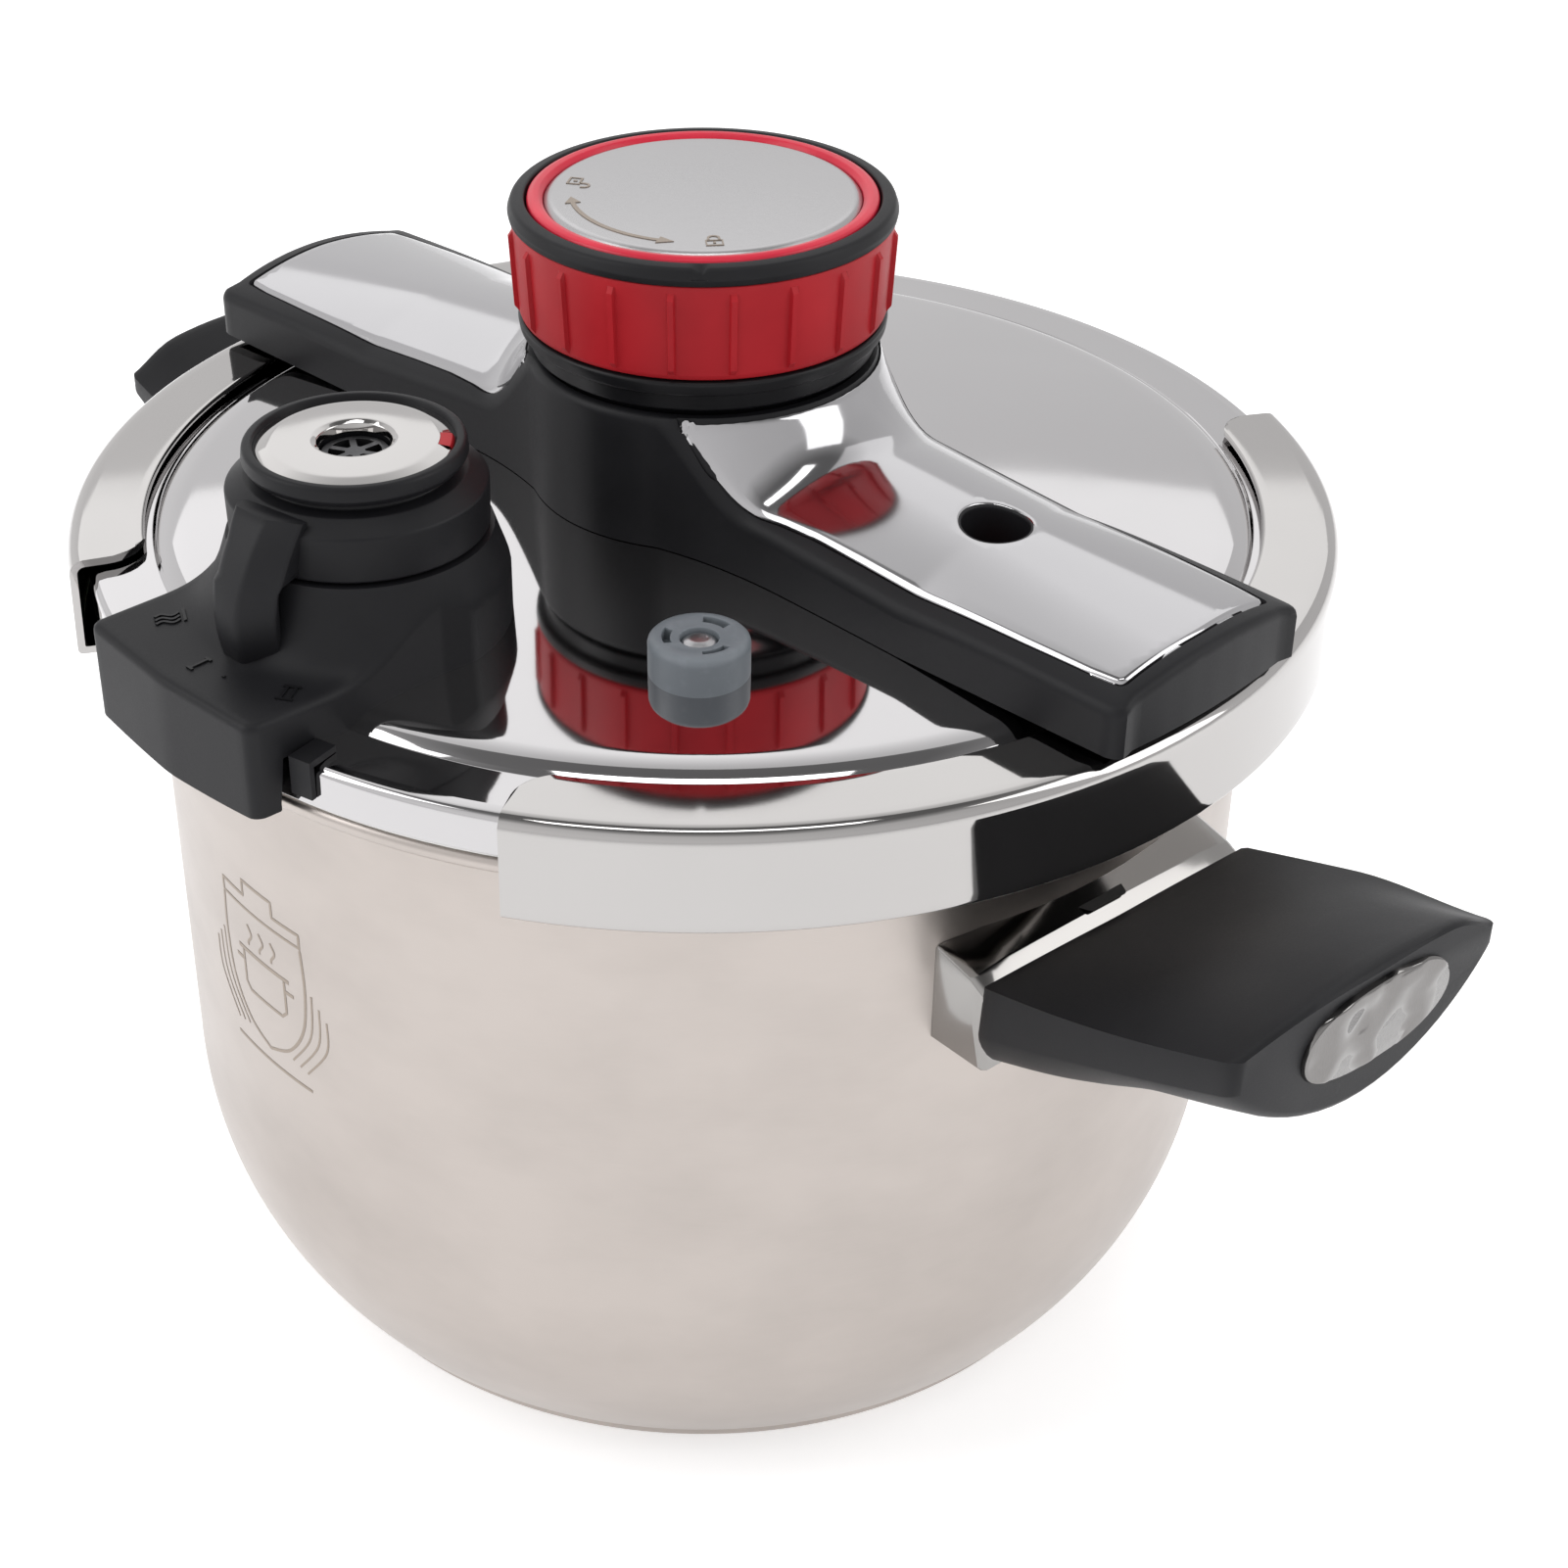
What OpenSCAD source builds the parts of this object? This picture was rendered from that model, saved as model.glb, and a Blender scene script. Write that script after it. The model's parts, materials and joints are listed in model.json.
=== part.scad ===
// Stovetop pressure cooker with a turning knob that drives two clamp jaws.
// Origin at the middle of the base, +Z up, +X along the closing beam. Millimetres.

/* [Pot] */
// Inner width of the pot
pot_bore_d = 220; // [183:1:264]
// Thickness of the pot's wall
pot_wall = 1; // [0.8:0.1:1.5]
// Height of the rolled rim above the table
pot_rim_z = 161.2; // [134:0.2:194]
// Radius of the belly curve between wall and base
belly_r = 80; // [70:1:90]
// How far the rim flange stands out from the wall
flange_reach = 10; // [9.4:0.2:10.6]
// Thickness of the base disc with its cap
base_h = 4; // [3:0.5:8]

/* [Lid] */
// Thickness of the lid's sheet
lid_sheet = 1; // [0.8:0.1:1.2]
// Gap between the lid's skirt and the rim bead
skirt_gap = 1.3; // [0.8:0.1:2]
// Height of the lid's skirt and bend
skirt_h = 8.5; // [7.5:0.5:11]
// Rise of the raised disc over the ledge at the disc's edge
disc_rise = 2.5; // [1.5:0.5:4]
// Rise of the dome from the disc's edge to the middle
dome_rise = 3; // [2:0.5:4]

/* [Jaws] */
// Thickness of the jaws' sheet
jaw_sheet = 1.5; // [1.2:0.1:2]
// Angle that each jaw covers
jaw_angle = 121; // [100:0.5:124]
// Travel of each jaw from closed to open
jaw_travel = 16; // [15.5:0.1:16.5]
// Free play of the lid between the jaws and the flange
lid_play = 0.6; // [0.4:0.1:1]

/* [Beam] */
// Width of the closing beam
beam_w = 52; // [48:0.2:62.4]
// Height of the beam's back over the jaws at the sight hole
beam_h = 18.9; // [18:0.1:21]
// Radius of the round neck under the knob
neck_r = 34.4; // [34:0.1:41.4]

/* [Knob] */
// Radius of the knob at its rim
knob_r = 37.1; // [36.6:0.1:44.6]
// Height of the knob from its collar to the trim ring
knob_h = 30; // [28:0.5:34]
// Number of ribs round the grip
rib_count = 20; // [12:1:30]
// Turn of the knob from closed to open
knob_turn = 140; // [116:1:150]

/* [Valve] */
// Distance of the pressure valve's axis in from the edge of the lid's disc
valve_in = 25.6; // [24.5:0.1:29]
// Direction of the pressure valve
valve_dir = -92.5; // [-96:0.5:-86]
// Radius of the selector dial
dial_r = 23.6; // [19.6:0.1:28.4]
// Width of the guard over the rim
guard_w = 50; // [46:1:54]

/* [Handles] */
// Direction of the right handle about the pot's middle
handle_dir = -5.1; // [-8:0.1:8]
// How far a grip reaches out from its bracket
grip_len = 56; // [50:1:64]
// Width of a grip at its tips
grip_w = 68; // [64:1:72]

/* [Hidden] */

$fn = 96;
// Overshoot of cuts that pass right through
cut = 1;
// Radial clearance of turning and sliding fits
run_fit = 0.08;
// Gap between pieces that pass each other
pass_gap = 0.3;
// Gap between the lid's skin and what is clamped to it
seat_fit = 0.02;

// Pot
pot_r = pot_bore_d / 2 + pot_wall;
belly_in = 16.8;
belly_z = base_h + sqrt(pow(belly_r, 2) - pow(belly_r - belly_in, 2));
bead_r = 1.75;
flange_r = pot_r + flange_reach;
cove_r = flange_reach - 2.5;
flange_top = pot_rim_z - bead_r + pot_wall / 2;
cove_z = flange_top - pot_wall - cove_r;
base_r = pot_r - belly_in;
cap_r = base_r - 1.7;
cap_sheet = 1;

// Lid
skirt_z = pot_rim_z + skirt_gap;
ledge_z = skirt_z + skirt_h;
rim_r = flange_r + 1;
rim_bend = 3;
disc_r = pot_r - 2.1;
shoulder_w = 7.9;
shoulder_r = disc_r - shoulder_w;
shoulder_z = ledge_z + disc_rise;
dome_z = shoulder_z + dome_rise;
apex_z = dome_z + 0.06;
dome_r = (pow(shoulder_r, 2) + pow(apex_z - shoulder_z, 2)) / (2 * (apex_z - shoulder_z));

// Jaws
jaw_r = rim_r + 4;
jaw_top = ledge_z + 0.8 + jaw_sheet;
jaw_in_r = disc_r + 1.6;
jaw_h = jaw_top - pot_rim_z + 8.5;
jaw_low = jaw_top - jaw_h;
lip_r = pot_r + 2.2;
lip_under = cove_z + sqrt(pow(cove_r, 2) - pow(pot_r + cove_r - lip_r, 2));
lip_top = lip_under - lid_play;
jaw_corner = 8;

// Beam
bridge_z = dome_z;
bridge_t = 1.5;
bridge_len = 2 * (shoulder_r - 5);
bridge_w = beam_w - 12;
arm_z = bridge_z + bridge_t + pass_gap;
arm_t = 2;
arm_w = beam_w - 28;
arm_step_x = shoulder_r - 3;
arm_land_x = disc_r - 3;
arm_end_x = rim_r - 1;
beam_len = 2 * (jaw_r - 0.5);
beam_wall = 2.5;
beam_low = jaw_top + 1.5;
sight_x = shoulder_r - 25.8;
sight_r = 6.6;
beam_back_z = jaw_top + beam_h;
crown_r = 60;
beam_slope = 4.6;
cover_t = 0.8;
cover_edge = 4;
cover_end = 5;
neck_top = bridge_z + 27;
neck_flare = 12;
flare_h = 14;
neck_bore = neck_r - 2.4;
post_x = bridge_len / 2 - 8;
post_y = bridge_w / 2 - 4;
post_r = 3.5;
screw_r = 1.6;
screw_top = bridge_z + 7.5;

// Cam
pin_closed = 12;
pin_open = pin_closed + jaw_travel;
pin_r = 2.5;
cam_z = arm_z + arm_t + 1;
cam_t = 4;
rivet_r = 2.2;
rivet_y = arm_w / 4;
cam_r = neck_bore - 0.6;
cam_key = 12.4;
nut_r = 7;
nut_h = cam_z - bridge_z - bridge_t - pass_gap;
slot_steps = 36;

// Knob
stud_r = 5;
stud_neck_r = 4.5;
collar_z = neck_top + 1.1;
collar_h = 3.9;
knob_lip_h = 3;
grip_z = collar_z + collar_h + knob_lip_h;
grip_top = collar_z + knob_h - 4.1;
trim_top = collar_z + knob_h;
stud_top = collar_z + 7.7;
trim_r = knob_r - 3.7;
plate_r = trim_r - 3.2;

// Pressure valve
block_top = ledge_z + 8.2;
guard_r = rim_r + 5;
guard_low = skirt_z - 3.1;
valve_out = disc_r - valve_in;
block_r = dial_r + 3.4;
collar_top = block_top + 14.1;
dial_z = collar_top + 0.5;
dial_h = 10.7;
spigot_r = dial_r - 2.9;
spigot_low = collar_top - 10;
dial_neck_r = dial_r - 6.1;
dial_top = dial_z + dial_h + 2;
piston_r = 6;
chamber_r = 10;
chamber_top = dial_z + 6;
vent_r = 5;
nozzle_top = spigot_low + 7;
piston_z = nozzle_top + pass_gap;
spring_z = piston_z + 2.7;
valve_lift = 3;
ring_r = dial_r - 3.4;
ring_z = dial_top + 0.2;
ring_h = 3.8;
pointer_dir = 11;
pointer_r = dial_r + 9.4;
mark_dir = 45 - valve_dir;

// Safety valve and float pin
safety_out = shoulder_r - 24.9;
safety_dir = -45.3;
safety_cap_r = 9.2;
safety_cap_h = 7.1;
relief_lift = 2;
relief_stem = 2;
safety_lid_z = dome_height(safety_out);
float_r = 4;
float_stem = 3;
seat_gap = 0.1;
float_lift = 6;
float_top = beam_back_z - 8.2;
float_lid_z = dome_height(sight_x);
float_seat = bridge_z + bridge_t - 0.2;
float_seal_z = float_lid_z - 6.5;
float_low = float_seal_z - float_lift - pass_gap;

// Handles
bracket_x = pot_r + 8;
bracket_w = 68;
bracket_low = pot_rim_z - 48.7;
bracket_top = pot_rim_z - 23.4;
grip_low = bracket_low - 2;
grip_high = bracket_top - 4.4;
tip_x = bracket_x + grip_len;
tip_top = pot_rim_z - 7.4;
tip_low = pot_rim_z - 35.2;
tip_side = pot_rim_z - 19.2;
inlay_z = pot_rim_z - 20.8;
inlay_w = 38;
inlay_h = 17;
stud_z = bracket_low + 9.5;

// Height of the lid's top surface at distance r from the axis, on the dome
function dome_height(r) = apex_z - dome_r + sqrt(pow(dome_r, 2) - pow(r, 2));
// Distance of a cam slot's middle line from the axis after turning by a
function slot_r(a) = pin_closed + jaw_travel * a / knob_turn;
// Angle by which a cam slot's middle line climbs outwards at turn a
function slot_climb(a) = atan(jaw_travel * 180 / (knob_turn * PI) / slot_r(a));
// Point at distance w square to the slot's middle line at turn a
function slot_edge(a, w) = [
    slot_r(a) * cos(a) + w * cos(a - slot_climb(a)), slot_r(a) * sin(a) + w * sin(a - slot_climb(a))
];
// Radius of a circle whose segment is w wide and h high
function segment_r(w, h) = (pow(w / 2, 2) + pow(h, 2)) / (2 * h);

// ---- shared shapes ----

// Solid under the lid's skin, taken at depth t below its outer surface
module under_lid(t) {
    low = skirt_z - (t == 0 ? 0 : cut);
    edge_z = apex_z - dome_r + sqrt(pow(dome_r - t, 2) - pow(shoulder_r, 2));
    rotate_extrude() intersection() {
        translate([0, apex_z - dome_r]) circle(r = dome_r - t, $fn = 720);
        translate([0, low]) square([shoulder_r, dome_z - t - low]);
    }
    rotate_extrude() polygon([
        [shoulder_r - 5, low], [shoulder_r - 5, ledge_z - t], [shoulder_r, edge_z],
        [disc_r, ledge_z - t], [rim_r - rim_bend, ledge_z - t], [rim_r - rim_bend, low]
    ]);
    translate([0, 0, low]) cylinder(r = rim_r - t, h = ledge_z - rim_bend - low);
    rotate_extrude() translate([rim_r - rim_bend, ledge_z - rim_bend]) circle(r = rim_bend - t);
}

// Puts its child at the pressure valve's axis, with +X pointing outwards
module at_valve() {
    rotate([0, 0, valve_dir]) translate([valve_out, 0, 0]) children();
}

// Puts its child at the safety valve's axis
module at_safety() {
    rotate([0, 0, safety_dir]) translate([safety_out, 0, 0]) children();
}

// Puts its child at the right (0) or left (180) handle, with +X pointing outwards
module at_handle(side) {
    rotate([0, 0, handle_dir + side]) children();
}

// Coil spring of n turns between two heights
module coil(r, wire, low, high, n) {
    steps = 14;
    total = n * steps;
    sides = 6;
    points = [
        for (i = [0:total]) for (k = [0:sides - 1])
            let (a = 360 * i / steps, b = 360 * k / sides,
                 q = r + wire * cos(b),
                 z = low + wire + (high - low - 2 * wire) * i / total + wire * sin(b))
            [q * cos(a), q * sin(a), z]
    ];
    skin = [
        for (i = [0:total - 1]) for (k = [0:sides - 1])
            let (m = (k + 1) % sides)
            each [
                [i * sides + k, i * sides + m, (i + 1) * sides + m],
                [i * sides + k, (i + 1) * sides + m, (i + 1) * sides + k]
            ]
    ];
    first = [[for (k = [sides - 1:-1:0]) k]];
    last = [[for (k = [0:sides - 1]) total * sides + k]];
    polyhedron(points, concat(skin, first, last));
}

// Outline of a grip's end face, d inside its edge, about the table's level
module tip_outline(d) {
    top_r = segment_r(grip_w, 4.8);
    low_r = segment_r(grip_w, tip_side - tip_low);
    intersection() {
        translate([0, tip_top - top_r]) circle(r = top_r - d, $fn = 180);
        translate([0, tip_low + low_r]) circle(r = low_r - d, $fn = 128);
        translate([d - grip_w / 2, 0]) square([grip_w - 2 * d, 2 * tip_top]);
    }
}

// Oval of width w and height h
module oval(w, h) {
    end_r = h / 3;
    side_r = segment_r(w - 0.6 * end_r, h / 2);
    intersection() {
        translate([0, side_r - h / 2]) circle(r = side_r, $fn = 180);
        translate([0, h / 2 - side_r]) circle(r = side_r, $fn = 180);
        square([w - 1.2 * end_r, h], center = true);
    }
    for (x = [-1, 1]) translate([x * (w / 2 - end_r), 0]) circle(r = end_r);
}

// ---- pot ----

// Pot wall region at depth t inside its outer face
module pot_region(t, low) {
    intersection() {
        union() {
            translate([pot_r - belly_r, belly_z]) circle(r = belly_r - t, $fn = 240);
            translate([0, low]) square([pot_r - belly_r, belly_z - low]);
            translate([0, belly_z]) square([pot_r - t, cove_z - belly_z]);
        }
        translate([0, low]) square([pot_r - t, cove_z - low]);
    }
}

module pot_body() {
    color("lightgray") rotate_extrude() {
        difference() {
            pot_region(0, base_h);
            intersection() {
                pot_region(pot_wall, base_h + pot_wall);
                translate([0, base_h + pot_wall]) square([pot_r, 2 * pot_rim_z]);
            }
            translate([0, cove_z - pot_wall]) square([pot_r - pot_wall, 2 * pot_wall]);
        }
        intersection() {
            translate([pot_r + cove_r, cove_z]) difference() {
                circle(r = cove_r + pot_wall);
                circle(r = cove_r);
            }
            translate([pot_r - pot_wall, cove_z]) square([cove_r + pot_wall, cove_r + pot_wall]);
        }
        translate([pot_r + cove_r, flange_top - pot_wall])
            square([flange_reach - cove_r - bead_r, pot_wall]);
        translate([flange_r - bead_r, pot_rim_z - bead_r]) circle(r = bead_r);
    }
}

module base_core() {
    color("silver") translate([0, 0, cap_sheet]) cylinder(r = cap_r - cap_sheet, h = base_h - cap_sheet);
}

module base_cap() {
    color("gray") rotate_extrude() difference() {
        union() {
            square([cap_r - 1, base_h]);
            translate([0, 1]) square([cap_r, base_h - 1]);
            translate([cap_r - 1, 1]) circle(r = 1);
        }
        translate([0, cap_sheet]) square([cap_r - cap_sheet, base_h]);
    }
}

module handle_bracket(side) {
    wall = 1.5;
    color("silver") at_handle(side) difference() {
        translate([0, bracket_w / 2, 0]) rotate([90, 0, 0]) linear_extrude(bracket_w) polygon([
            [pot_r - 14, bracket_low], [bracket_x, bracket_low], [bracket_x, bracket_top - 6],
            [bracket_x - 4.5, bracket_top - 3], [pot_r - 14, bracket_top]
        ]);
        translate([0, bracket_w / 2 - wall, 0]) rotate([90, 0, 0])
            linear_extrude(bracket_w - 2 * wall) polygon([
                [0, bracket_low + wall], [bracket_x - wall, bracket_low + wall],
                [bracket_x - wall, bracket_top - 7], [bracket_x - 5, bracket_top - 3 - wall],
                [0, bracket_top - wall]
            ]);
        translate([0, 0, bracket_low - cut]) cylinder(r = pot_r, h = bracket_top - bracket_low + 2 * cut);
        translate([bracket_x - 7, -7, bracket_low + 10]) cube([4, 14, bracket_top]);
        translate([pot_r, 0, stud_z]) rotate([0, 90, 0]) cylinder(r = 4, h = 20);
    }
}

module handle_grip(side) {
    color([0.12, 0.12, 0.13]) at_handle(side) difference() {
        hull() {
            translate([bracket_x, 0, (grip_low + grip_high) / 2]) rotate([90, 0, 90])
                linear_extrude(3) rounded_box(bracket_w + 2, grip_high - grip_low, 7);
            translate([bracket_x + 20, 0, (grip_low + grip_high) / 2 + 5.5]) rotate([90, 0, 90])
                linear_extrude(3) rounded_box(bracket_w - 4, grip_high - grip_low - 2, 9);
            translate([tip_x - 4, 0, 0]) rotate([90, 0, 90]) linear_extrude(2.5) tip_outline(0);
            translate([tip_x - 1.5, 0, 0]) rotate([90, 0, 90]) linear_extrude(1.5) tip_outline(1.5);
        }
        translate([bracket_x - cut, 0, stud_z]) rotate([0, 90, 0]) cylinder(r = 4.1, h = 13 + cut);
        translate([bracket_x, 0, stud_z]) rotate([0, 90, 0]) cylinder(r = 2.6, h = 28);
        translate([bracket_x + 27, 0, stud_z]) rotate([0, 90, 0]) cylinder(r = 5, h = grip_len);
        translate([tip_x - 1, 0, inlay_z]) rotate([90, 0, 90])
            linear_extrude(2) oval(inlay_w + 0.4, inlay_h + 0.4);
    }
}

// Rectangle w by h about its middle, with corner radius r
module rounded_box(w, h, r) {
    for (x = [-1, 1]) for (y = [-1, 1])
        translate([x * (w / 2 - r), y * (h / 2 - r)]) circle(r = r, $fn = 32);
    square([w - 2 * r, h], center = true);
    square([w, h - 2 * r], center = true);
}

module handle_inlay(side) {
    color("white") at_handle(side) translate([tip_x - 1, 0, inlay_z]) rotate([90, 0, 90])
        linear_extrude(1.6) oval(inlay_w, inlay_h);
}

module handle_stud(side) {
    color("dimgray") at_handle(side) difference() {
        translate([pot_r - 2, 0, stud_z]) rotate([0, 90, 0]) cylinder(r = 4, h = 23);
        translate([bracket_x, 0, stud_z]) rotate([0, 90, 0]) cylinder(r = 2.5, h = 20);
        cylinder(r = pot_r, h = pot_rim_z);
    }
}

module handle_screw(side) {
    color("dimgray") at_handle(side) translate([bracket_x + 1, 0, stud_z]) rotate([0, 90, 0]) {
        cylinder(r = 2.5, h = 27);
        translate([0, 0, 26]) cylinder(r = 4.5, h = 3);
    }
}

// ---- lid ----

module lid() {
    color("gainsboro") difference() {
        under_lid(0);
        under_lid(lid_sheet);
        translate([0, 0, skirt_z]) cylinder(r = stud_r + run_fit, h = 30);
        at_valve() translate([0, 0, skirt_z]) cylinder(r = vent_r + run_fit, h = 30);
        at_safety() translate([0, 0, skirt_z]) cylinder(r = 4.5 + run_fit, h = 30);
        translate([sight_x, 0, skirt_z]) cylinder(r = 5.5 + run_fit, h = 30);
    }
}

module gasket() {
    low = pot_rim_z + pass_gap;
    top = ledge_z - lid_sheet;
    out = rim_r - lid_sheet;
    color("whitesmoke") rotate_extrude() difference() {
        polygon([
            [out - 10, low + 3], [out - 6, low], [out - 0.4, low], [out - 0.2, low + 2],
            [out - 0.2, top - rim_bend], [out - rim_bend, top - 0.1], [out - 11, top - 0.1],
            [out - 11, top - 1.6], [out - 4, top - 2.6], [out - 4, low + 3]
        ]);
    }
}

module beam_bridge() {
    color("silver") difference() {
        translate([-bridge_len / 2, -bridge_w / 2, bridge_z]) cube([bridge_len, bridge_w, bridge_t]);
        translate([0, 0, bridge_z - cut]) cylinder(r = stud_r + run_fit, h = bridge_t + 2 * cut);
        translate([sight_x, 0, bridge_z - cut]) cylinder(r = 7, h = bridge_t + 2 * cut);
        for (x = [-1, 1]) for (y = [-1, 1])
            translate([x * post_x, y * post_y, bridge_z - cut]) cylinder(r = screw_r, h = bridge_t + 2 * cut);
    }
}

// Outline of the beam seen from above, d inside its edge
module beam_plan(d) {
    intersection() {
        square([beam_len - 2 * d, beam_w - 2 * d], center = true);
        circle(r = beam_len / 2 + 1.2 - d, $fn = 240);
    }
}

// Everything under the beam's crowned back on one side, lowered by drop
module under_back(side, drop) {
    rotate([0, 0, side]) intersection() {
        translate([sight_x, 0, beam_back_z - drop - crown_r]) rotate([0, 90 + beam_slope, 0])
            cylinder(r = crown_r, h = 3 * beam_len, center = true, $fn = 180);
        translate([0, -beam_w, beam_low - 2 * cut]) cube([beam_len, 2 * beam_w, 2 * beam_len]);
    }
}

// Beam body lowered by drop and drawn in by inset, without the neck
module beam_form(drop, inset) {
    intersection() {
        translate([0, 0, beam_low]) linear_extrude(2 * knob_h + neck_flare) beam_plan(inset);
        union() {
            under_back(0, drop);
            under_back(180, drop);
            translate([0, 0, neck_top - flare_h - drop])
                cylinder(r1 = neck_r + neck_flare, r2 = neck_r, h = flare_h);
        }
    }
}

module beam_housing() {
    color([0.1, 0.1, 0.11]) difference() {
        union() {
            difference() {
                beam_form(0, 0);
                cover_zone(0, 0);
                cover_zone(180, 0);
            }
            beam_form(cover_t, 1);
            translate([0, 0, beam_low]) cylinder(r = neck_r, h = neck_top - beam_low);
        }
        difference() {
            union() {
                intersection() {
                    beam_form(beam_wall + cover_t, beam_wall);
                    translate([-beam_len, -beam_w, beam_low - cut]) cube([2 * beam_len, 2 * beam_w, 60]);
                }
                translate([-beam_len / 2 + beam_wall, -beam_w / 2 + beam_wall, beam_low - cut])
                    cube([beam_len - 2 * beam_wall, beam_w - 2 * beam_wall, 2 * cut]);
            }
            for (x = [-1, 1]) for (y = [-1, 1])
                translate([x * post_x, y * post_y, bridge_z + bridge_t]) cylinder(r = post_r, h = 20);
        }
        translate([0, 0, beam_low - cut]) cylinder(r = neck_bore, h = 60);
        under_lid(-0.5);
        for (x = [-1, 1]) for (y = [-1, 1])
            translate([x * post_x, y * post_y, beam_low]) cylinder(r = screw_r, h = screw_top + 0.3 - beam_low);
        for (x = [-1, 1])
            translate([x * (beam_len / 2 - beam_wall), 0, beam_low])
                cube([4 * beam_wall, arm_w + 2, 2 * (arm_t - 1)], center = true);
        translate([sight_x, 0, beam_low]) cylinder(r = sight_r - 0.3, h = 30);
    }
}

// Space of a polished cover in the beam's back, drawn in by d
module cover_zone(side, d) {
    half = beam_w / 2 - cover_edge - d;
    far = beam_len / 2 - cover_end - d;
    rotate([0, 0, side]) difference() {
        translate([0, 0, beam_low]) linear_extrude(60) polygon([
            [14, -half - 6], [26, -half - 4.2], [36, -half - 1.4], [50, -half], [far - 1, -half + 1.6],
            [far + 0.6, 0], [far - 1, half - 1.6], [50, half], [36, half + 1.4], [26, half + 4.2],
            [14, half + 6]
        ]);
        translate([0, 0, beam_low - cut]) cylinder(r = neck_r + d, h = 70);
    }
}

module beam_cover(side) {
    color("white") difference() {
        intersection() {
            cover_zone(side, 0.1);
            beam_form(0, 0);
        }
        intersection() {
            beam_form(cover_t, 0);
            rotate([0, 0, side]) translate([0, -beam_w, 0]) cube([beam_len, 2 * beam_w, 2 * beam_len]);
        }
        if (side == 0) translate([sight_x, 0, beam_low]) cylinder(r = sight_r, h = 30);
    }
}

module beam_screws() {
    color("dimgray") for (x = [-1, 1]) for (y = [-1, 1])
        translate([x * post_x, y * post_y, bridge_z - 1.4]) {
            cylinder(r = 3, h = 1.4);
            cylinder(r = screw_r, h = screw_top - bridge_z + 1.4);
        }
}

module arm_guides() {
    side = arm_w / 2 + pass_gap;
    near = cam_r + 5.6;
    color("ivory") for (x = [0, 1]) for (y = [0, 180]) rotate([0, 0, y]) mirror([x, 0, 0])
        translate([near, 0, bridge_z + bridge_t]) rotate([90, 0, 90]) linear_extrude(sight_x - 12 - near) polygon([
            [side, 0], [side + 3, 0], [side + 3, arm_t + 2 * pass_gap + 1.4],
            [side - 2, arm_t + 2 * pass_gap + 1.4], [side - 2, arm_t + 2 * pass_gap],
            [side, arm_t + 2 * pass_gap]
        ]);
}

module centre_stud() {
    color("silver") rotate_extrude() polygon([
        [0, dome_z - lid_sheet - 4.5], [9, dome_z - lid_sheet - 4.5], [9, dome_z - lid_sheet - 1.1],
        [stud_r, dome_z - lid_sheet - 1.1], [stud_r, cam_z - pass_gap], [stud_neck_r, cam_z - pass_gap],
        [stud_neck_r, stud_top + pass_gap], [0, stud_top + pass_gap]
    ]);
}

module centre_seal() {
    color([0.2, 0.2, 0.2]) translate([0, 0, dome_z - lid_sheet - 1.1]) difference() {
        cylinder(r = 8.5, h = 1.05);
        translate([0, 0, -cut]) cylinder(r = stud_r, h = 4);
    }
}

module centre_nut() {
    color("silver") translate([0, 0, bridge_z + bridge_t]) difference() {
        cylinder(r = nut_r, h = nut_h);
        translate([0, 0, -cut]) cylinder(r = stud_r, h = nut_h + 2 * cut);
        for (a = [0, 90]) rotate([0, 0, a + 45])
            translate([-10, -0.8, nut_h - 1]) cube([20, 1.6, 2]);
    }
}

module knob_screw() {
    color("silver") translate([0, 0, stud_top + pass_gap]) difference() {
        cylinder(r = 8, h = 2.6);
        translate([0, 0, 1]) cylinder(r = 3, h = 4, $fn = 6);
    }
}

// ---- pressure valve ----

module valve_housing() {
    color([0.12, 0.12, 0.13]) difference() {
        union() {
            rotate([0, 0, valve_dir]) intersection() {
                translate([0, 0, guard_low]) linear_extrude(block_top - guard_low) union() {
                    translate([valve_out, 0]) circle(r = block_r);
                    translate([valve_out - 4, -guard_w / 2]) square([guard_r - valve_out + 4, guard_w]);
                }
                cylinder(r = guard_r + 2.5, h = 2 * block_top);
            }
            at_valve() translate([0, 0, block_top]) cylinder(r1 = block_r - 1, r2 = dial_r + 0.6, h = collar_top - block_top);
        }
        under_lid(-seat_fit);
        cylinder(r = rim_r + 1.3, h = ledge_z - rim_bend);
        at_valve() {
            translate([0, 0, spigot_low - 0.4]) cylinder(r = spigot_r + run_fit, h = 40);
            translate([0, 0, ledge_z - 5]) cylinder(r = 10, h = 40);
        }
    }
}

module rim_clip() {
    wide = 4.6 / rim_r * 180 / PI;
    in = rim_r + seat_fit;
    low = ledge_z + seat_fit;
    color([0.12, 0.12, 0.13]) rotate([0, 0, valve_dir + 13.7 - wide / 2]) rotate_extrude(angle = wide) polygon([
        [rim_r - 6, low], [in, low], [in, ledge_z - 6.2], [in + 1.1, ledge_z - 6.2],
        [in + 1.1, ledge_z + 1.3], [rim_r - 6, ledge_z + 1.3]
    ]);
}

module vent_pipe() {
    floor_z = dome_height(valve_out);
    color("silver") difference() {
        union() {
            at_valve() translate([0, 0, floor_z - 10]) cylinder(r = vent_r, h = 13);
            difference() {
                at_valve() translate([0, 0, floor_z - 2]) cylinder(r = 8, h = 5);
                under_lid(-seat_fit);
            }
            at_valve() rotate_extrude() polygon([
                [0, floor_z], [4, floor_z], [4, nozzle_top - 2], [2.4, nozzle_top], [0, nozzle_top]
            ]);
        }
        at_valve() translate([0, 0, floor_z - 11]) cylinder(r = 1.5, h = 60);
    }
}

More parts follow.
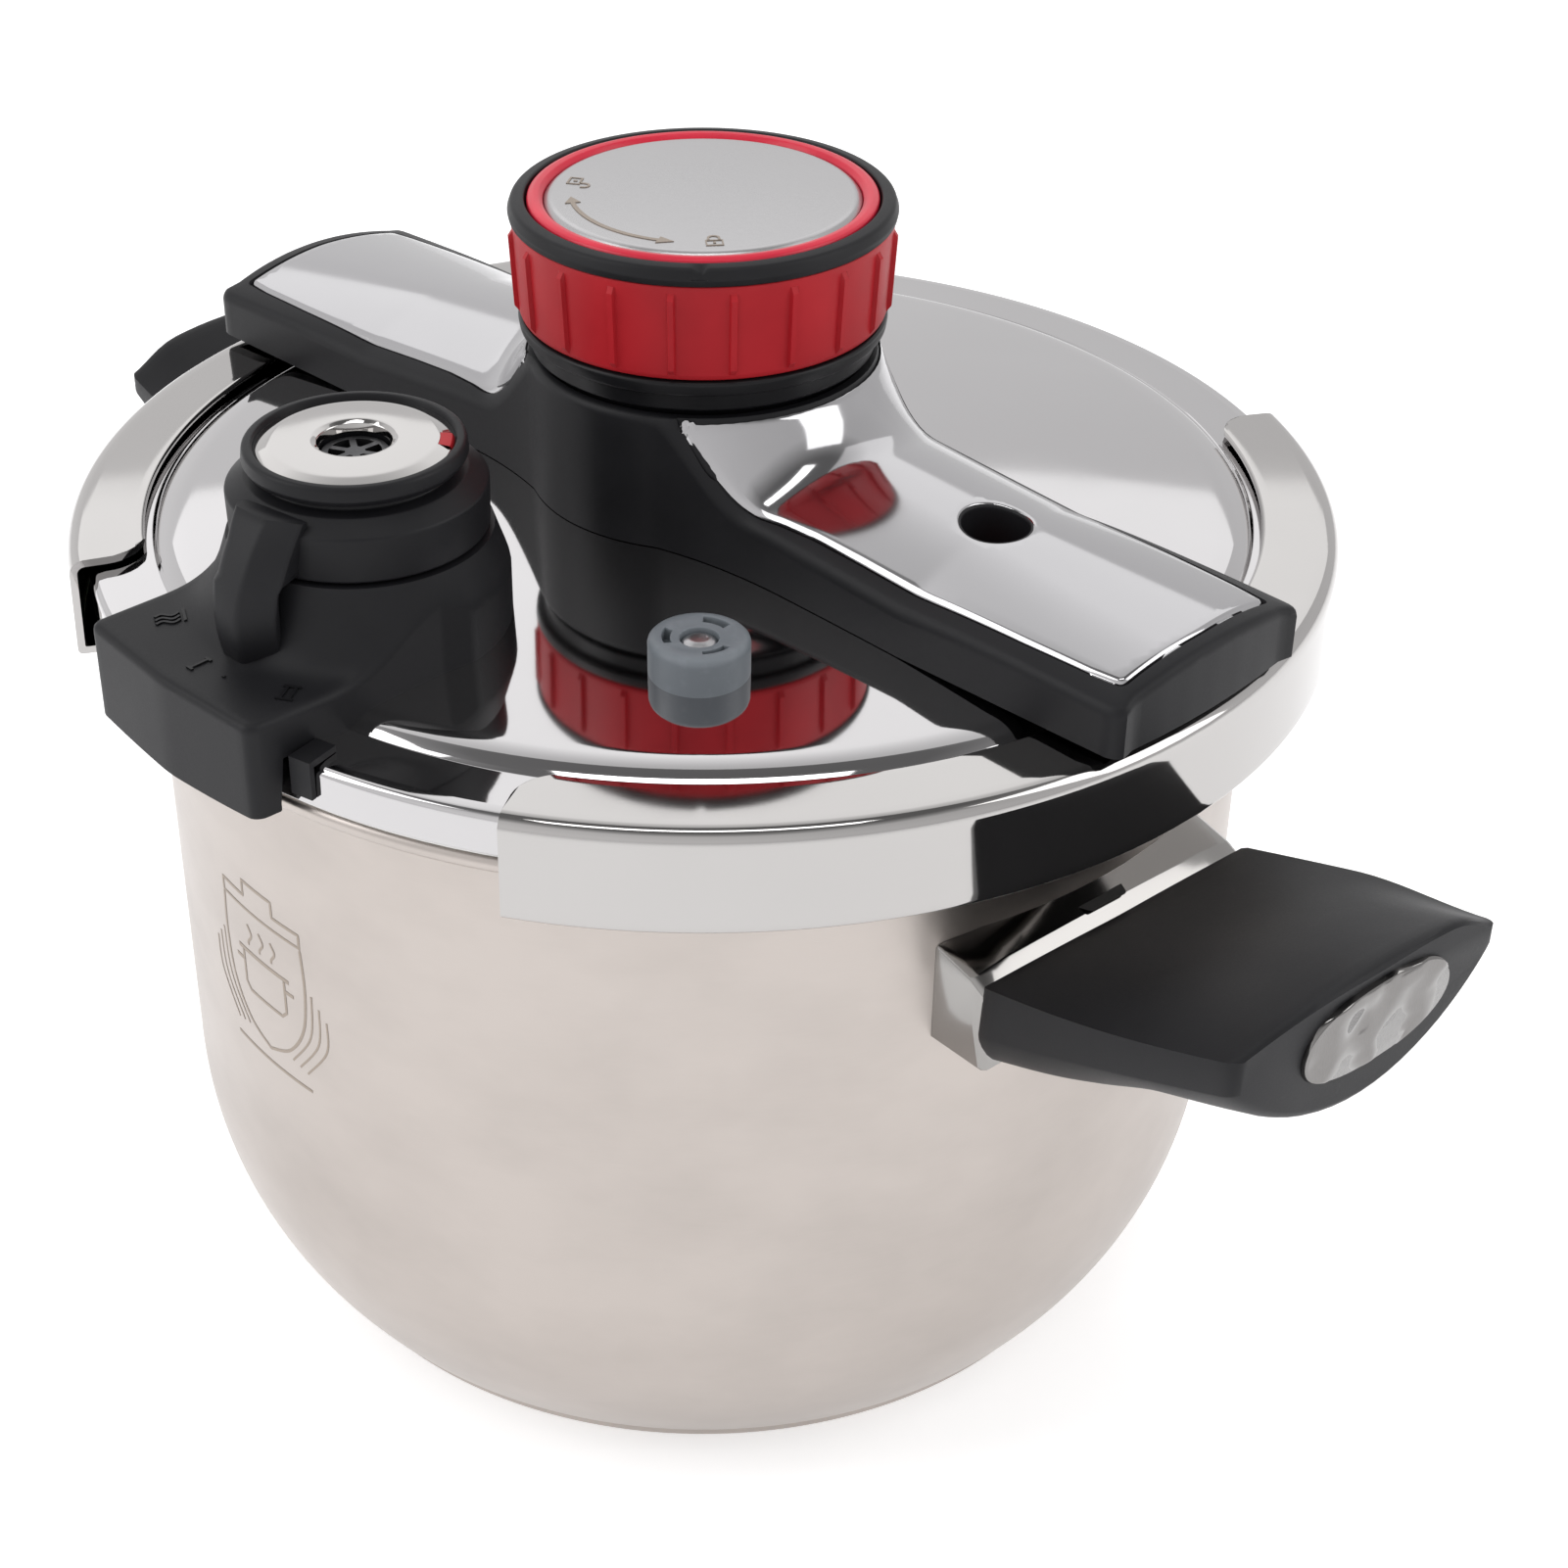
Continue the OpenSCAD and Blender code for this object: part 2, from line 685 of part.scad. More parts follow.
module vent_seal() {
    color([0.2, 0.2, 0.2]) intersection() {
        at_valve() translate([0, 0, dome_height(valve_out) - 3]) difference() {
            cylinder(r = 8.5, h = 4);
            translate([0, 0, -cut]) cylinder(r = vent_r, h = 8);
        }
        under_lid(lid_sheet + seat_fit);
    }
}

module vent_nut() {
    color("silver") at_valve() translate([0, 0, dome_height(valve_out) - 6]) difference() {
        cylinder(r = 9, h = 3, $fn = 6);
        translate([0, 0, -cut]) cylinder(r = vent_r, h = 5);
    }
}

module anti_block_cap() {
    top = dome_height(valve_out) - 6;
    color("silver") at_valve() translate([0, 0, top - 8]) difference() {
        cylinder(r = 7.5, h = 8);
        translate([0, 0, 0.8]) cylinder(r = 6.7, h = 6.4);
        translate([0, 0, 2]) cylinder(r = vent_r, h = 8);
        for (a = [0:45:315]) rotate([0, 0, a]) translate([0, 0, 2.6]) rotate([0, 90, 0])
            cylinder(r = 0.9, h = 9);
    }
}

// ---- safety valve and float pin ----

module safety_valve_cap() {
    color("lightslategray") difference() {
        at_safety() union() {
            translate([0, 0, safety_lid_z - 1]) cylinder(r = safety_cap_r, h = safety_cap_h - 1);
            translate([0, 0, safety_lid_z + safety_cap_h - 2]) cylinder(r1 = safety_cap_r, r2 = safety_cap_r - 2, h = 2);
        }
        under_lid(-seat_fit);
        at_safety() {
            translate([0, 0, safety_lid_z - 2]) cylinder(r = 7.2, h = 5.2);
            translate([0, 0, safety_lid_z - 2]) cylinder(r = 3.5, h = 20);
            for (a = [30, 150, 270]) rotate([0, 0, a - 24]) translate([0, 0, safety_lid_z + 4.2])
                rotate_extrude(angle = 48) translate([5.2, 0]) square([1.5, 5]);
        }
    }
}

module safety_valve_body() {
    color("silver") difference() {
        union() {
            at_safety() translate([0, 0, safety_lid_z - 9]) cylinder(r = 4.5, h = 11);
            intersection() {
                at_safety() translate([0, 0, safety_lid_z - 3.5]) cylinder(r = 7, h = 4);
                under_lid(lid_sheet + seat_fit);
            }
        }
        at_safety() translate([0, 0, safety_lid_z - 20]) cylinder(r = relief_stem + run_fit, h = 40);
    }
}

module safety_valve_nut() {
    color("silver") difference() {
        at_safety() translate([0, 0, safety_lid_z - 1]) cylinder(r = 7.1, h = 2.8, $fn = 6);
        at_safety() translate([0, 0, safety_lid_z - 2]) cylinder(r = 4.5, h = 8);
        under_lid(-seat_fit);
    }
}

module relief_pin() {
    color("white") at_safety() {
        translate([0, 0, safety_lid_z - 16]) cylinder(r = relief_stem, h = 20);
        translate([0, 0, safety_lid_z + 2.3]) cylinder(r = 3.2, h = 3.2);
        translate([0, 0, safety_lid_z + 5.5]) cylinder(r1 = 3.2, r2 = 2, h = 1);
        translate([0, 0, safety_lid_z - 17]) cylinder(r = 4, h = 1.2);
    }
}

module relief_spring() {
    color("silver") at_safety() coil(3, 0.35, safety_lid_z - 15.5, safety_lid_z - 9.3, 4);
}

module float_bushing() {
    color("silver") difference() {
        union() {
            translate([sight_x, 0, float_lid_z - 5]) cylinder(r = 5.5, h = float_seat - float_lid_z + 5);
            intersection() {
                translate([sight_x, 0, float_lid_z - 3.5]) cylinder(r = 7.5, h = 4);
                under_lid(lid_sheet + seat_fit);
            }
        }
        translate([sight_x, 0, float_lid_z - 20]) cylinder(r = float_stem + run_fit, h = 40);
    }
}

module float_seal() {
    color("indianred") translate([sight_x, 0, float_seal_z]) difference() {
        cylinder(r = 6.5, h = 1.5);
        translate([0, 0, -cut]) cylinder(r = float_stem + 0.4, h = 4);
    }
}

module float_pin() {
    color("firebrick") translate([sight_x, 0, 0]) {
        translate([0, 0, float_low]) cylinder(r = float_stem, h = float_top - float_low - 1);
        translate([0, 0, float_seat + seat_gap]) cylinder(r = float_r, h = float_top - float_seat - seat_gap - 1);
        translate([0, 0, float_top - 1]) cylinder(r1 = float_r, r2 = float_r - 1, h = 1);
        translate([0, 0, float_low - 1.5]) cylinder(r = 6, h = 1.5);
    }
}

// ---- knob ----

module knob_core() {
    color([0.1, 0.1, 0.11]) difference() {
        union() {
            translate([-cam_key / 2, -cam_key / 2, cam_z]) cube([cam_key, cam_key, cam_t + cut]);
            translate([0, 0, cam_z + cam_t]) cylinder(r = 9, h = stud_top - cam_z - cam_t);
            translate([0, 0, collar_z + 1]) cylinder(r = neck_r - 0.9, h = collar_h - 1);
            translate([0, 0, collar_z]) cylinder(r1 = neck_r - 1.9, r2 = neck_r - 0.9, h = 1);
            translate([0, 0, collar_z - 5]) cylinder(r = neck_bore - 1.5, h = 6);
            translate([0, 0, collar_z + collar_h]) cylinder(r = knob_r - 1.4, h = knob_lip_h);
            translate([0, 0, grip_z]) cylinder(r = knob_r - 4, h = grip_top - grip_z);
        }
        translate([0, 0, cam_z - cut]) cylinder(r = stud_neck_r + run_fit, h = 2 * knob_h + 20);
        translate([0, 0, collar_z - 5 - cut]) difference() {
            cylinder(r = neck_bore - 4, h = 5 + cut);
            cylinder(r = 9, h = 5 + cut);
        }
        translate([0, 0, stud_top]) cylinder(r = knob_r - 6.5, h = grip_top - stud_top - 2);
        translate([0, 0, stud_top]) cylinder(r = 20, h = knob_h);
    }
}

module knob_grip() {
    h = grip_top - grip_z;
    color("firebrick") difference() {
        union() {
            translate([0, 0, grip_z]) cylinder(r1 = knob_r - 2.2, r2 = knob_r - 0.7, h = h);
            intersection() {
                translate([0, 0, grip_z]) cylinder(r1 = knob_r - 1.5, r2 = knob_r - 0.1, h = h - 1);
                for (i = [0:rib_count - 1]) rotate([0, 0, i * 360 / rib_count])
                    translate([knob_r - 6, -0.6, grip_z]) cube([8, 1.2, h - 1]);
            }
        }
        translate([0, 0, grip_z - cut]) cylinder(r = knob_r - 4, h = h + 2 * cut);
    }
}

module knob_rim() {
    h = trim_top - grip_top - 0.8;
    color([0.1, 0.1, 0.11]) rotate_extrude() translate([0, grip_top]) {
        translate([trim_r, 0]) square([knob_r - trim_r - 1.4, h]);
        translate([trim_r, 0]) square([knob_r - trim_r, h - 1.4]);
        translate([knob_r - 1.4, h - 1.4]) circle(r = 1.4);
    }
}

module knob_trim_ring() {
    wide = trim_r - plate_r - 2 * seat_fit;
    color("crimson") rotate_extrude() translate([plate_r + seat_fit, grip_top]) {
        square([wide, trim_top - grip_top - wide / 2]);
        translate([wide / 2, trim_top - grip_top - wide / 2]) circle(r = wide / 2);
    }
}

module knob_plate() {
    color("silver") translate([0, 0, grip_top]) {
        cylinder(r = plate_r, h = trim_top - grip_top - 1.3);
        translate([0, 0, trim_top - grip_top - 1.3]) cylinder(r1 = plate_r, r2 = plate_r - 0.6, h = 0.6);
    }
}

// Curved slot for a cam pin, width w, starting on the +X side
module cam_slot(w) {
    polygon(concat(
        [for (i = [0:slot_steps]) slot_edge(i * knob_turn / slot_steps, w / 2)],
        [for (i = [slot_steps:-1:0]) slot_edge(i * knob_turn / slot_steps, -w / 2)]
    ));
    for (a = [0, knob_turn]) rotate(a) translate([slot_r(a), 0]) circle(r = w / 2);
}

module cam_disc() {
    slot_w = 2 * pin_r + 0.5;
    color("gray") translate([0, 0, cam_z]) linear_extrude(cam_t) difference() {
        circle(r = cam_r);
        square(cam_key, center = true);
        cam_slot(slot_w);
        rotate(180) cam_slot(slot_w);
    }
}

// ---- jaws ----

module jaw(side) {
    color("gainsboro") rotate([0, 0, side]) difference() {
        rotate([0, 0, -jaw_angle / 2]) rotate_extrude(angle = jaw_angle, $fn = 180) jaw_section();
        for (m = [0, 1]) mirror([0, m, 0]) rotate([0, 0, jaw_angle / 2]) translate([jaw_in_r, 0, jaw_top - 4])
            linear_extrude(6) difference() {
                translate([-2, -jaw_corner]) square([jaw_corner + 2, jaw_corner + 2]);
                translate([jaw_corner, -jaw_corner]) circle(r = jaw_corner);
            }
        for (y = [-rivet_y, rivet_y]) translate([arm_end_x - 5, y, jaw_top - jaw_sheet - cut])
            cylinder(r = rivet_r, h = jaw_sheet + 2 * cut);
    }
}

// Section of a jaw: top flange, skirt, bottom flange and turned-up lip
module jaw_section() {
    bend = 3;
    difference() {
        union() {
            translate([jaw_in_r, jaw_top - 6]) square([jaw_r - jaw_in_r - bend, 6]);
            translate([jaw_r - 6, jaw_low]) square([6, jaw_h - bend]);
            translate([jaw_r - bend, jaw_top - bend]) circle(r = bend);
            translate([lip_r, jaw_low]) square([jaw_r - lip_r, lip_top - jaw_low]);
        }
        translate([jaw_in_r - cut, jaw_top - jaw_sheet - 20])
            square([jaw_r - jaw_in_r - bend + cut, 20]);
        translate([lip_r - cut, lip_top]) square([jaw_r - jaw_sheet - lip_r + cut, jaw_top - bend - lip_top]);
        translate([lip_r + jaw_sheet, jaw_low + jaw_sheet])
            square([jaw_r - lip_r - 2 * jaw_sheet, lip_top - jaw_low]);
        translate([jaw_r - bend, jaw_top - bend]) circle(r = bend - jaw_sheet);
    }
    translate([lip_r, jaw_low]) square([jaw_r - lip_r, jaw_sheet]);
    translate([lip_r, jaw_low]) square([jaw_sheet, lip_top - jaw_low]);
}

module jaw_arm(side) {
    slot_end = sight_x + float_r + 0.5;
    color("silver") rotate([0, 0, side]) difference() {
        translate([0, arm_w / 2, 0]) rotate([90, 0, 0]) linear_extrude(arm_w) polygon([
            [pin_closed - 4, arm_z], [arm_step_x, arm_z], [arm_land_x, jaw_top], [arm_end_x, jaw_top],
            [arm_end_x, jaw_top + arm_t], [arm_land_x + 0.7, jaw_top + arm_t],
            [arm_step_x + 0.7, arm_z + arm_t], [pin_closed - 4, arm_z + arm_t]
        ]);
        translate([pin_closed, 0, arm_z - cut]) cylinder(r = pin_r, h = arm_t + 2 * cut);
        for (y = [-rivet_y, rivet_y]) translate([arm_end_x - 5, y, jaw_top - cut])
            cylinder(r = rivet_r, h = arm_t + 2 * cut);
        if (side == 0) translate([slot_end - float_r - 0.5 - jaw_travel, 0, arm_z - cut])
            linear_extrude(arm_t + 2 * cut) union() {
                circle(r = float_r + 0.5);
                translate([0, -float_r - 0.5]) square([jaw_travel, 2 * float_r + 1]);
                translate([jaw_travel, 0]) circle(r = float_r + 0.5);
            }
    }
}

module cam_pin(side) {
    color("dimgray") rotate([0, 0, side]) translate([pin_closed, 0, arm_z])
        cylinder(r = pin_r, h = cam_z + cam_t - arm_z - 0.4);
}

module jaw_rivets(side) {
    color("dimgray") rotate([0, 0, side]) for (y = [-rivet_y, rivet_y])
        translate([arm_end_x - 5, y, jaw_top - jaw_sheet]) cylinder(r = rivet_r, h = jaw_sheet + arm_t);
}

// ---- dial and piston ----

module valve_dial() {
    color([0.12, 0.12, 0.13]) at_valve() difference() {
        union() {
            rotate_extrude() polygon([
                [0, spigot_low], [spigot_r, spigot_low], [spigot_r, dial_z], [dial_r, dial_z],
                [dial_r, dial_z + dial_h - 2], [dial_r - 2, dial_z + dial_h], [dial_neck_r, dial_z + dial_h + 0.8],
                [dial_neck_r, dial_top], [0, dial_top]
            ]);
            rotate([0, 0, pointer_dir]) translate([0, 4, 0]) rotate([90, 0, 0]) linear_extrude(8) polygon([
                [dial_r - 3, dial_z], [dial_r - 3, dial_z + dial_h - 1.5], [dial_r + 2, dial_z + dial_h - 2.5],
                [pointer_r - 4, dial_z + 3], [pointer_r, block_top + 2.5], [pointer_r - 1, block_top + 0.8],
                [block_r + 0.6, block_top + 0.8], [block_r + 0.6, dial_z]
            ]);
        }
        translate([0, 0, spigot_low - cut]) cylinder(r = chamber_r, h = chamber_top - spigot_low + cut);
        translate([0, 0, spigot_low]) cylinder(r = piston_r + run_fit, h = 60);
    }
}

module valve_cap_ring() {
    color([0.1, 0.1, 0.11]) at_valve() rotate_extrude() translate([0, ring_z]) difference() {
        union() {
            translate([piston_r + 0.6, 0]) square([ring_r - piston_r - 1.6, 1]);
            translate([piston_r + 0.6, 0]) square([ring_r - piston_r - 0.6, ring_h - 1]);
            translate([ring_r - 1, ring_h - 1]) circle(r = 1);
        }
        translate([0, ring_h - 1.4]) square([ring_r - 2.4, 5]);
    }
}

module valve_cap_plate() {
    color("white") at_valve() translate([0, 0, ring_z + ring_h - 1.4]) difference() {
        union() {
            cylinder(r = ring_r - 2.4, h = 1);
            translate([0, 0, 1]) cylinder(r1 = ring_r - 2.4, r2 = ring_r - 4, h = 0.5);
        }
        translate([0, 0, -cut]) cylinder(r = piston_r + 0.8, h = 5);
        rotate([0, 0, mark_dir - 9]) rotate_extrude(angle = 18) translate([ring_r - 4.6, -cut]) square([6, 5]);
    }
}

module valve_mark() {
    color("crimson") at_valve() translate([0, 0, ring_z + ring_h - 1.4])
        rotate([0, 0, mark_dir - 8.6]) rotate_extrude(angle = 17.2) translate([ring_r - 4.5, 0]) square([2, 1.3]);
}

module valve_weight() {
    color("dimgray") at_valve() difference() {
        union() {
            translate([0, 0, piston_z]) cylinder(r = chamber_r - 0.4, h = 2.4);
            translate([0, 0, piston_z]) cylinder(r = piston_r, h = ring_z + 1.2 - piston_z);
        }
        translate([0, 0, ring_z - 0.6]) difference() {
            cylinder(r = piston_r - 1.2, h = 4);
            for (a = [0, 60, 120]) rotate([0, 0, a]) translate([-8, -0.6, 0]) cube([16, 1.2, 1.8]);
            cylinder(r = 1.8, h = 4);
        }
        translate([0, 0, piston_z - cut]) cylinder(r = 1.2, h = 5);
    }
}

module valve_spring() {
    color("silver") at_valve() coil(8.2, 0.45, spring_z, chamber_top - pass_gap, 3);
}

pot_body();
base_core();
base_cap();
handle_bracket(0);  // handle_bracket_right
handle_bracket(180);  // handle_bracket_left
handle_grip(0);  // handle_grip_right
handle_grip(180);  // handle_grip_left
handle_inlay(0);  // handle_inlay_right
handle_inlay(180);  // handle_inlay_left
handle_stud(0);  // handle_stud_right
handle_stud(180);  // handle_stud_left
handle_screw(0);  // handle_screw_right
handle_screw(180);  // handle_screw_left
lid();
gasket();
beam_bridge();
beam_housing();
beam_cover(0);  // beam_cover_right
beam_cover(180);  // beam_cover_left
beam_screws();
arm_guides();
centre_stud();
centre_seal();
centre_nut();
knob_screw();
valve_housing();
rim_clip();
vent_pipe();
vent_nut();
vent_seal();
anti_block_cap();
safety_valve_cap();
safety_valve_body();
safety_valve_nut();
float_bushing();
float_seal();
knob_core();
knob_grip();
knob_rim();
knob_trim_ring();
knob_plate();
cam_disc();
jaw(0);  // jaw_right
jaw(180);  // jaw_left
jaw_arm(0);  // jaw_arm_right
jaw_arm(180);  // jaw_arm_left
cam_pin(0);  // cam_pin_right
cam_pin(180);  // cam_pin_left
jaw_rivets(0);  // jaw_rivets_right
jaw_rivets(180);  // jaw_rivets_left
valve_dial();
valve_cap_ring();
valve_cap_plate();
valve_mark();
valve_weight();
valve_spring();
float_pin();
relief_pin();
relief_spring();
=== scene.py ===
import json
from math import asin, atan2, ceil, copysign, cos, degrees, dist, hypot, pi, radians, sin, sqrt, tan

import bpy
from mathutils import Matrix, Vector
from mathutils.geometry import delaunay_2d_cdt


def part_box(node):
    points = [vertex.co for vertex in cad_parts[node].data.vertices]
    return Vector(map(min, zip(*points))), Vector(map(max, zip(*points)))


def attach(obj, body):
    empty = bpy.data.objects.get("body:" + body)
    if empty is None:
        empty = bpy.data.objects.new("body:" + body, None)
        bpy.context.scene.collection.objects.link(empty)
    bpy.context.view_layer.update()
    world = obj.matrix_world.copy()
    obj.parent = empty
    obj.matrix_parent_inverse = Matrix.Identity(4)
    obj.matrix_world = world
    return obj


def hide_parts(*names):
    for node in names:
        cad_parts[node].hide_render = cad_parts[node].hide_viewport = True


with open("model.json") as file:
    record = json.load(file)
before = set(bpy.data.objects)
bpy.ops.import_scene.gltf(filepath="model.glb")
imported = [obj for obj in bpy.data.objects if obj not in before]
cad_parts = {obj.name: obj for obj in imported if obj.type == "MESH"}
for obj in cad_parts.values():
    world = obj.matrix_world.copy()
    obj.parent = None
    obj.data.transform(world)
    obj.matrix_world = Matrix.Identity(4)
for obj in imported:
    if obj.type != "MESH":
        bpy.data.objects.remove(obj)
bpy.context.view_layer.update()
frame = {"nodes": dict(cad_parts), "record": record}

MM = 0.001
NODES = frame["nodes"]


def low(node):
    """Lowest corner of a CAD node in millimetres."""
    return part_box(node)[0] / MM


def high(node):
    """Highest corner of a CAD node in millimetres."""
    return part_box(node)[1] / MM


def middle(node):
    """Middle of a CAD node in millimetres."""
    return (low(node) + high(node)) / 2


# ------ finishes


class Val:
    """A node's output that is added, subtracted and multiplied like a number."""

    def __init__(self, nodes, socket):
        self.nodes, self.socket = nodes, socket

    def maths(self, operation, *parts):
        return self.nodes.node("ShaderNodeMath", {"operation": operation}, list(parts))

    def __add__(self, other):
        return self.maths("ADD", self, other)

    def __radd__(self, other):
        return self.maths("ADD", other, self)

    def __sub__(self, other):
        return self.maths("SUBTRACT", self, other)

    def __rsub__(self, other):
        return self.maths("SUBTRACT", other, self)

    def __mul__(self, other):
        return self.maths("MULTIPLY", self, other)

    def __rmul__(self, other):
        return self.maths("MULTIPLY", other, self)


class Nodes:
    """A node tree that nodes are added to and linked in."""

    def __init__(self, tree):
        self.tree = tree

    def node(self, kind, settings, values, out=0):
        """Adds a node, sets it, fills its sockets in order or by name, and returns one output."""
        made = self.tree.nodes.new(kind)
        for key, value in settings.items():
            if key == "stops":
                ramp = made.color_ramp
                while len(ramp.elements) < len(value):
                    ramp.elements.new(0.5)
                for element, (place, shade) in zip(ramp.elements, value):
                    element.position = place
                    element.color = (*shade, 1)
            else:
                setattr(made, key, value)
        pairs = values.items() if isinstance(values, dict) else enumerate(values)
        for socket, value in pairs:
            if value is not None:
                self.feed(made.inputs[socket], value)
        return Val(self, made.outputs[out])

    def feed(self, socket, value):
        if isinstance(value, Val):
            self.tree.links.new(value.socket, socket)
        elif isinstance(value, tuple) and len(value) == 3 and socket.type == "RGBA":
            socket.default_value = (*value, 1)
        else:
            socket.default_value = value

    def mix(self, factor, first, second, blend="MIX"):
        return self.node(
            "ShaderNodeMix", {"data_type": "RGBA", "blend_type": blend},
            {0: factor, 6: first, 7: second}, 2,
        )


class Finish(Nodes):
    """One material: a shader with fixed values, and nodes for what varies over the surface."""

    def __init__(self, name, **fixed):
        self.material = bpy.data.materials.new(name)
        self.material.use_nodes = True
        super().__init__(self.material.node_tree)
        self.shader = self.tree.nodes["Principled BSDF"]
        for socket, value in fixed.items():
            self.shader.inputs[socket.replace("_", " ")].default_value = value

    def vary(self, **sockets):
        """Links what varies over the surface to the shader."""
        for socket, value in sockets.items():
            self.feed(self.shader.inputs[socket.replace("_", " ")], value)
        return self.material

    def place(self, x=1, y=1, z=1):
        """Position on the object in millimetres, stretched along each axis."""
        at = self.node("ShaderNodeTexCoord", {}, {}, "Object")
        scale = (x / MM, y / MM, z / MM)
        return self.node("ShaderNodeVectorMath", {"operation": "MULTIPLY"}, [at, scale])

    def round_place(self, centre, along=1, out=1, up=1):
        """Position round a standing axis: turn in radians, then distance and height in millimetres."""
        at = self.node("ShaderNodeTexCoord", {}, {}, "Object")
        split = self.node("ShaderNodeSeparateXYZ", {}, [at])
        x, y, z = (Val(self, split.socket.node.outputs[i]) for i in range(3))
        x, y = x - centre[0] * MM, y - centre[1] * MM
        square = x * x + y * y
        radius = square.maths("SQRT", square)
        turn = y.maths("ARCTAN2", y, x)
        return self.node(
            "ShaderNodeCombineXYZ", {}, [turn * along, radius * (out / MM), z * (up / MM)]
        )

    def noise(self, place, scale, detail=2, rough=0.5):
        return self.node(
            "ShaderNodeTexNoise", {},
            {"Vector": place, "Scale": scale, "Detail": detail, "Roughness": rough},
        )

    def span(self, value, start, end, low_value=0.0, high_value=1.0):
        return self.node(
            "ShaderNodeMapRange", {}, [value, start, end, low_value, high_value]
        )

    def bump(self, height, depth, strength=1.0, base=None):
        """Surface relief of that depth in millimetres."""
        return self.node(
            "ShaderNodeBump", {},
            {"Height": height, "Distance": depth * MM, "Strength": strength, "Normal": base},
        )


def polished_steel(name, colour=(0.50, 0.487, 0.478), haze=0.045, wave=0.010):
    """Buffed stainless steel: mirror bright, with faint haze, hairlines and a soft waviness of the sheet."""
    f = Finish(name, Metallic=1.0)
    at = f.place()
    cloud = f.noise(at, 0.035, 3)
    hair = f.noise(f.place(9, 9, 0.4), 0.9, 4, 0.7)
    wavy = f.noise(at, 0.022, 1)
    rough = haze + f.span(cloud, 0.35, 0.75) * 0.03 + f.span(hair, 0.62, 0.80) * 0.05
    tint = f.mix(cloud, colour, tuple(c * 0.95 for c in colour))
    relief = f.bump(wavy, wave * 20, 0.35)
    return f.vary(Base_Color=tint, Roughness=rough, Normal=f.bump(hair, 0.0012, 0.25, relief))


def satin_body(name, colour=(0.505, 0.460, 0.430)):
    """Stainless steel satined round and round, with soft handling clouds."""
    f = Finish(name, Metallic=1.0, Anisotropic=0.35)
    lines = f.noise(f.round_place((0, 0), 22, 0.2, 9), 1.0, 4, 0.65)
    cloud = f.noise(f.place(1, 1, 1.6), 0.018, 4, 0.6)
    spots = f.noise(f.place(), 0.5, 3)
    tint = f.mix(f.span(cloud, 0.38, 0.68), colour, tuple(c * 0.89 for c in colour))
    tint = f.mix(f.span(lines, 0.3, 0.7) * 0.22, tint, tuple(c * 1.12 for c in colour))
    rough = 0.27 + f.span(cloud, 0.3, 0.7) * 0.06 + f.span(lines, 0.3, 0.7) * 0.06
    rough = rough + f.span(spots, 0.66, 0.8) * 0.03
    return f.vary(Base_Color=tint, Roughness=rough, Normal=f.bump(lines, 0.006, 0.5))


def machined_steel(name, colour=(0.42, 0.415, 0.41), rough=0.30):
    """Turned or rolled steel with fine tool lines."""
    f = Finish(name, Metallic=1.0)
    lines = f.noise(f.place(0.6, 0.6, 6), 1.6, 3, 0.6)
    grime = f.noise(f.place(), 0.12, 4, 0.65)
    tint = f.mix(f.span(grime, 0.45, 0.75), colour, tuple(c * 0.72 for c in colour))
    return f.vary(
        Base_Color=tint, Roughness=rough + f.span(grime, 0.3, 0.8) * 0.15,
        Normal=f.bump(lines, 0.004, 0.4),
    )


def brushed_plate(name, colour=(0.47, 0.465, 0.47)):
    """Steel brushed in straight strokes."""
    f = Finish(name, Metallic=1.0)
    strokes = f.noise(f.place(0.5, 14, 1), 1.0, 4, 0.7)
    cloud = f.noise(f.place(), 0.05, 3)
    tint = f.mix(f.span(strokes, 0.3, 0.7) * 0.35, colour, tuple(c * 0.86 for c in colour))
    rough = 0.24 + f.span(strokes, 0.3, 0.7) * 0.08 + f.span(cloud, 0.3, 0.7) * 0.04
    return f.vary(Base_Color=tint, Roughness=rough, Normal=f.bump(strokes, 0.004, 0.5))


def moulded_plastic(name, colour, rough=0.42, grain=0.018, scale=2.6, coat=0.0):
    """Moulded plastic with a fine spark-eroded grain, faint flow marks and rubbed spots."""
    f = Finish(name, Coat_Weight=coat, Coat_Roughness=0.15, Specular_IOR_Level=0.22)
    at = f.place()
    fine = f.noise(at, scale, 3, 0.7)
    flow = f.noise(at, 0.045, 3, 0.55)
    rub = f.noise(at, 0.35, 4, 0.7)
    tint = f.mix(f.span(flow, 0.35, 0.7), colour, tuple(min(1, c * 1.22 + 0.002) for c in colour))
    level = rough + f.span(flow, 0.3, 0.75) * 0.07 - f.span(rub, 0.62, 0.8) * 0.05
    level = level + f.span(fine, 0.35, 0.65) * 0.04
    return f.vary(Base_Color=tint, Roughness=level, Normal=f.bump(fine, grain, 0.6))


def soft_rubber(name, colour, rough=0.55):
    """Silicone or rubber with a dusty, slightly waxy skin."""
    f = Finish(name, IOR=1.43)
    at = f.place()
    fine = f.noise(at, 1.6, 4, 0.7)
    dust = f.noise(at, 0.28, 4, 0.65)
    tint = f.mix(f.span(dust, 0.5, 0.8) * 0.6, colour, tuple(min(1, c * 1.2 + 0.03) for c in colour))
    return f.vary(
        Base_Color=tint, Roughness=rough + f.span(dust, 0.4, 0.8) * 0.12,
        Normal=f.bump(fine, 0.012, 0.5),
    )


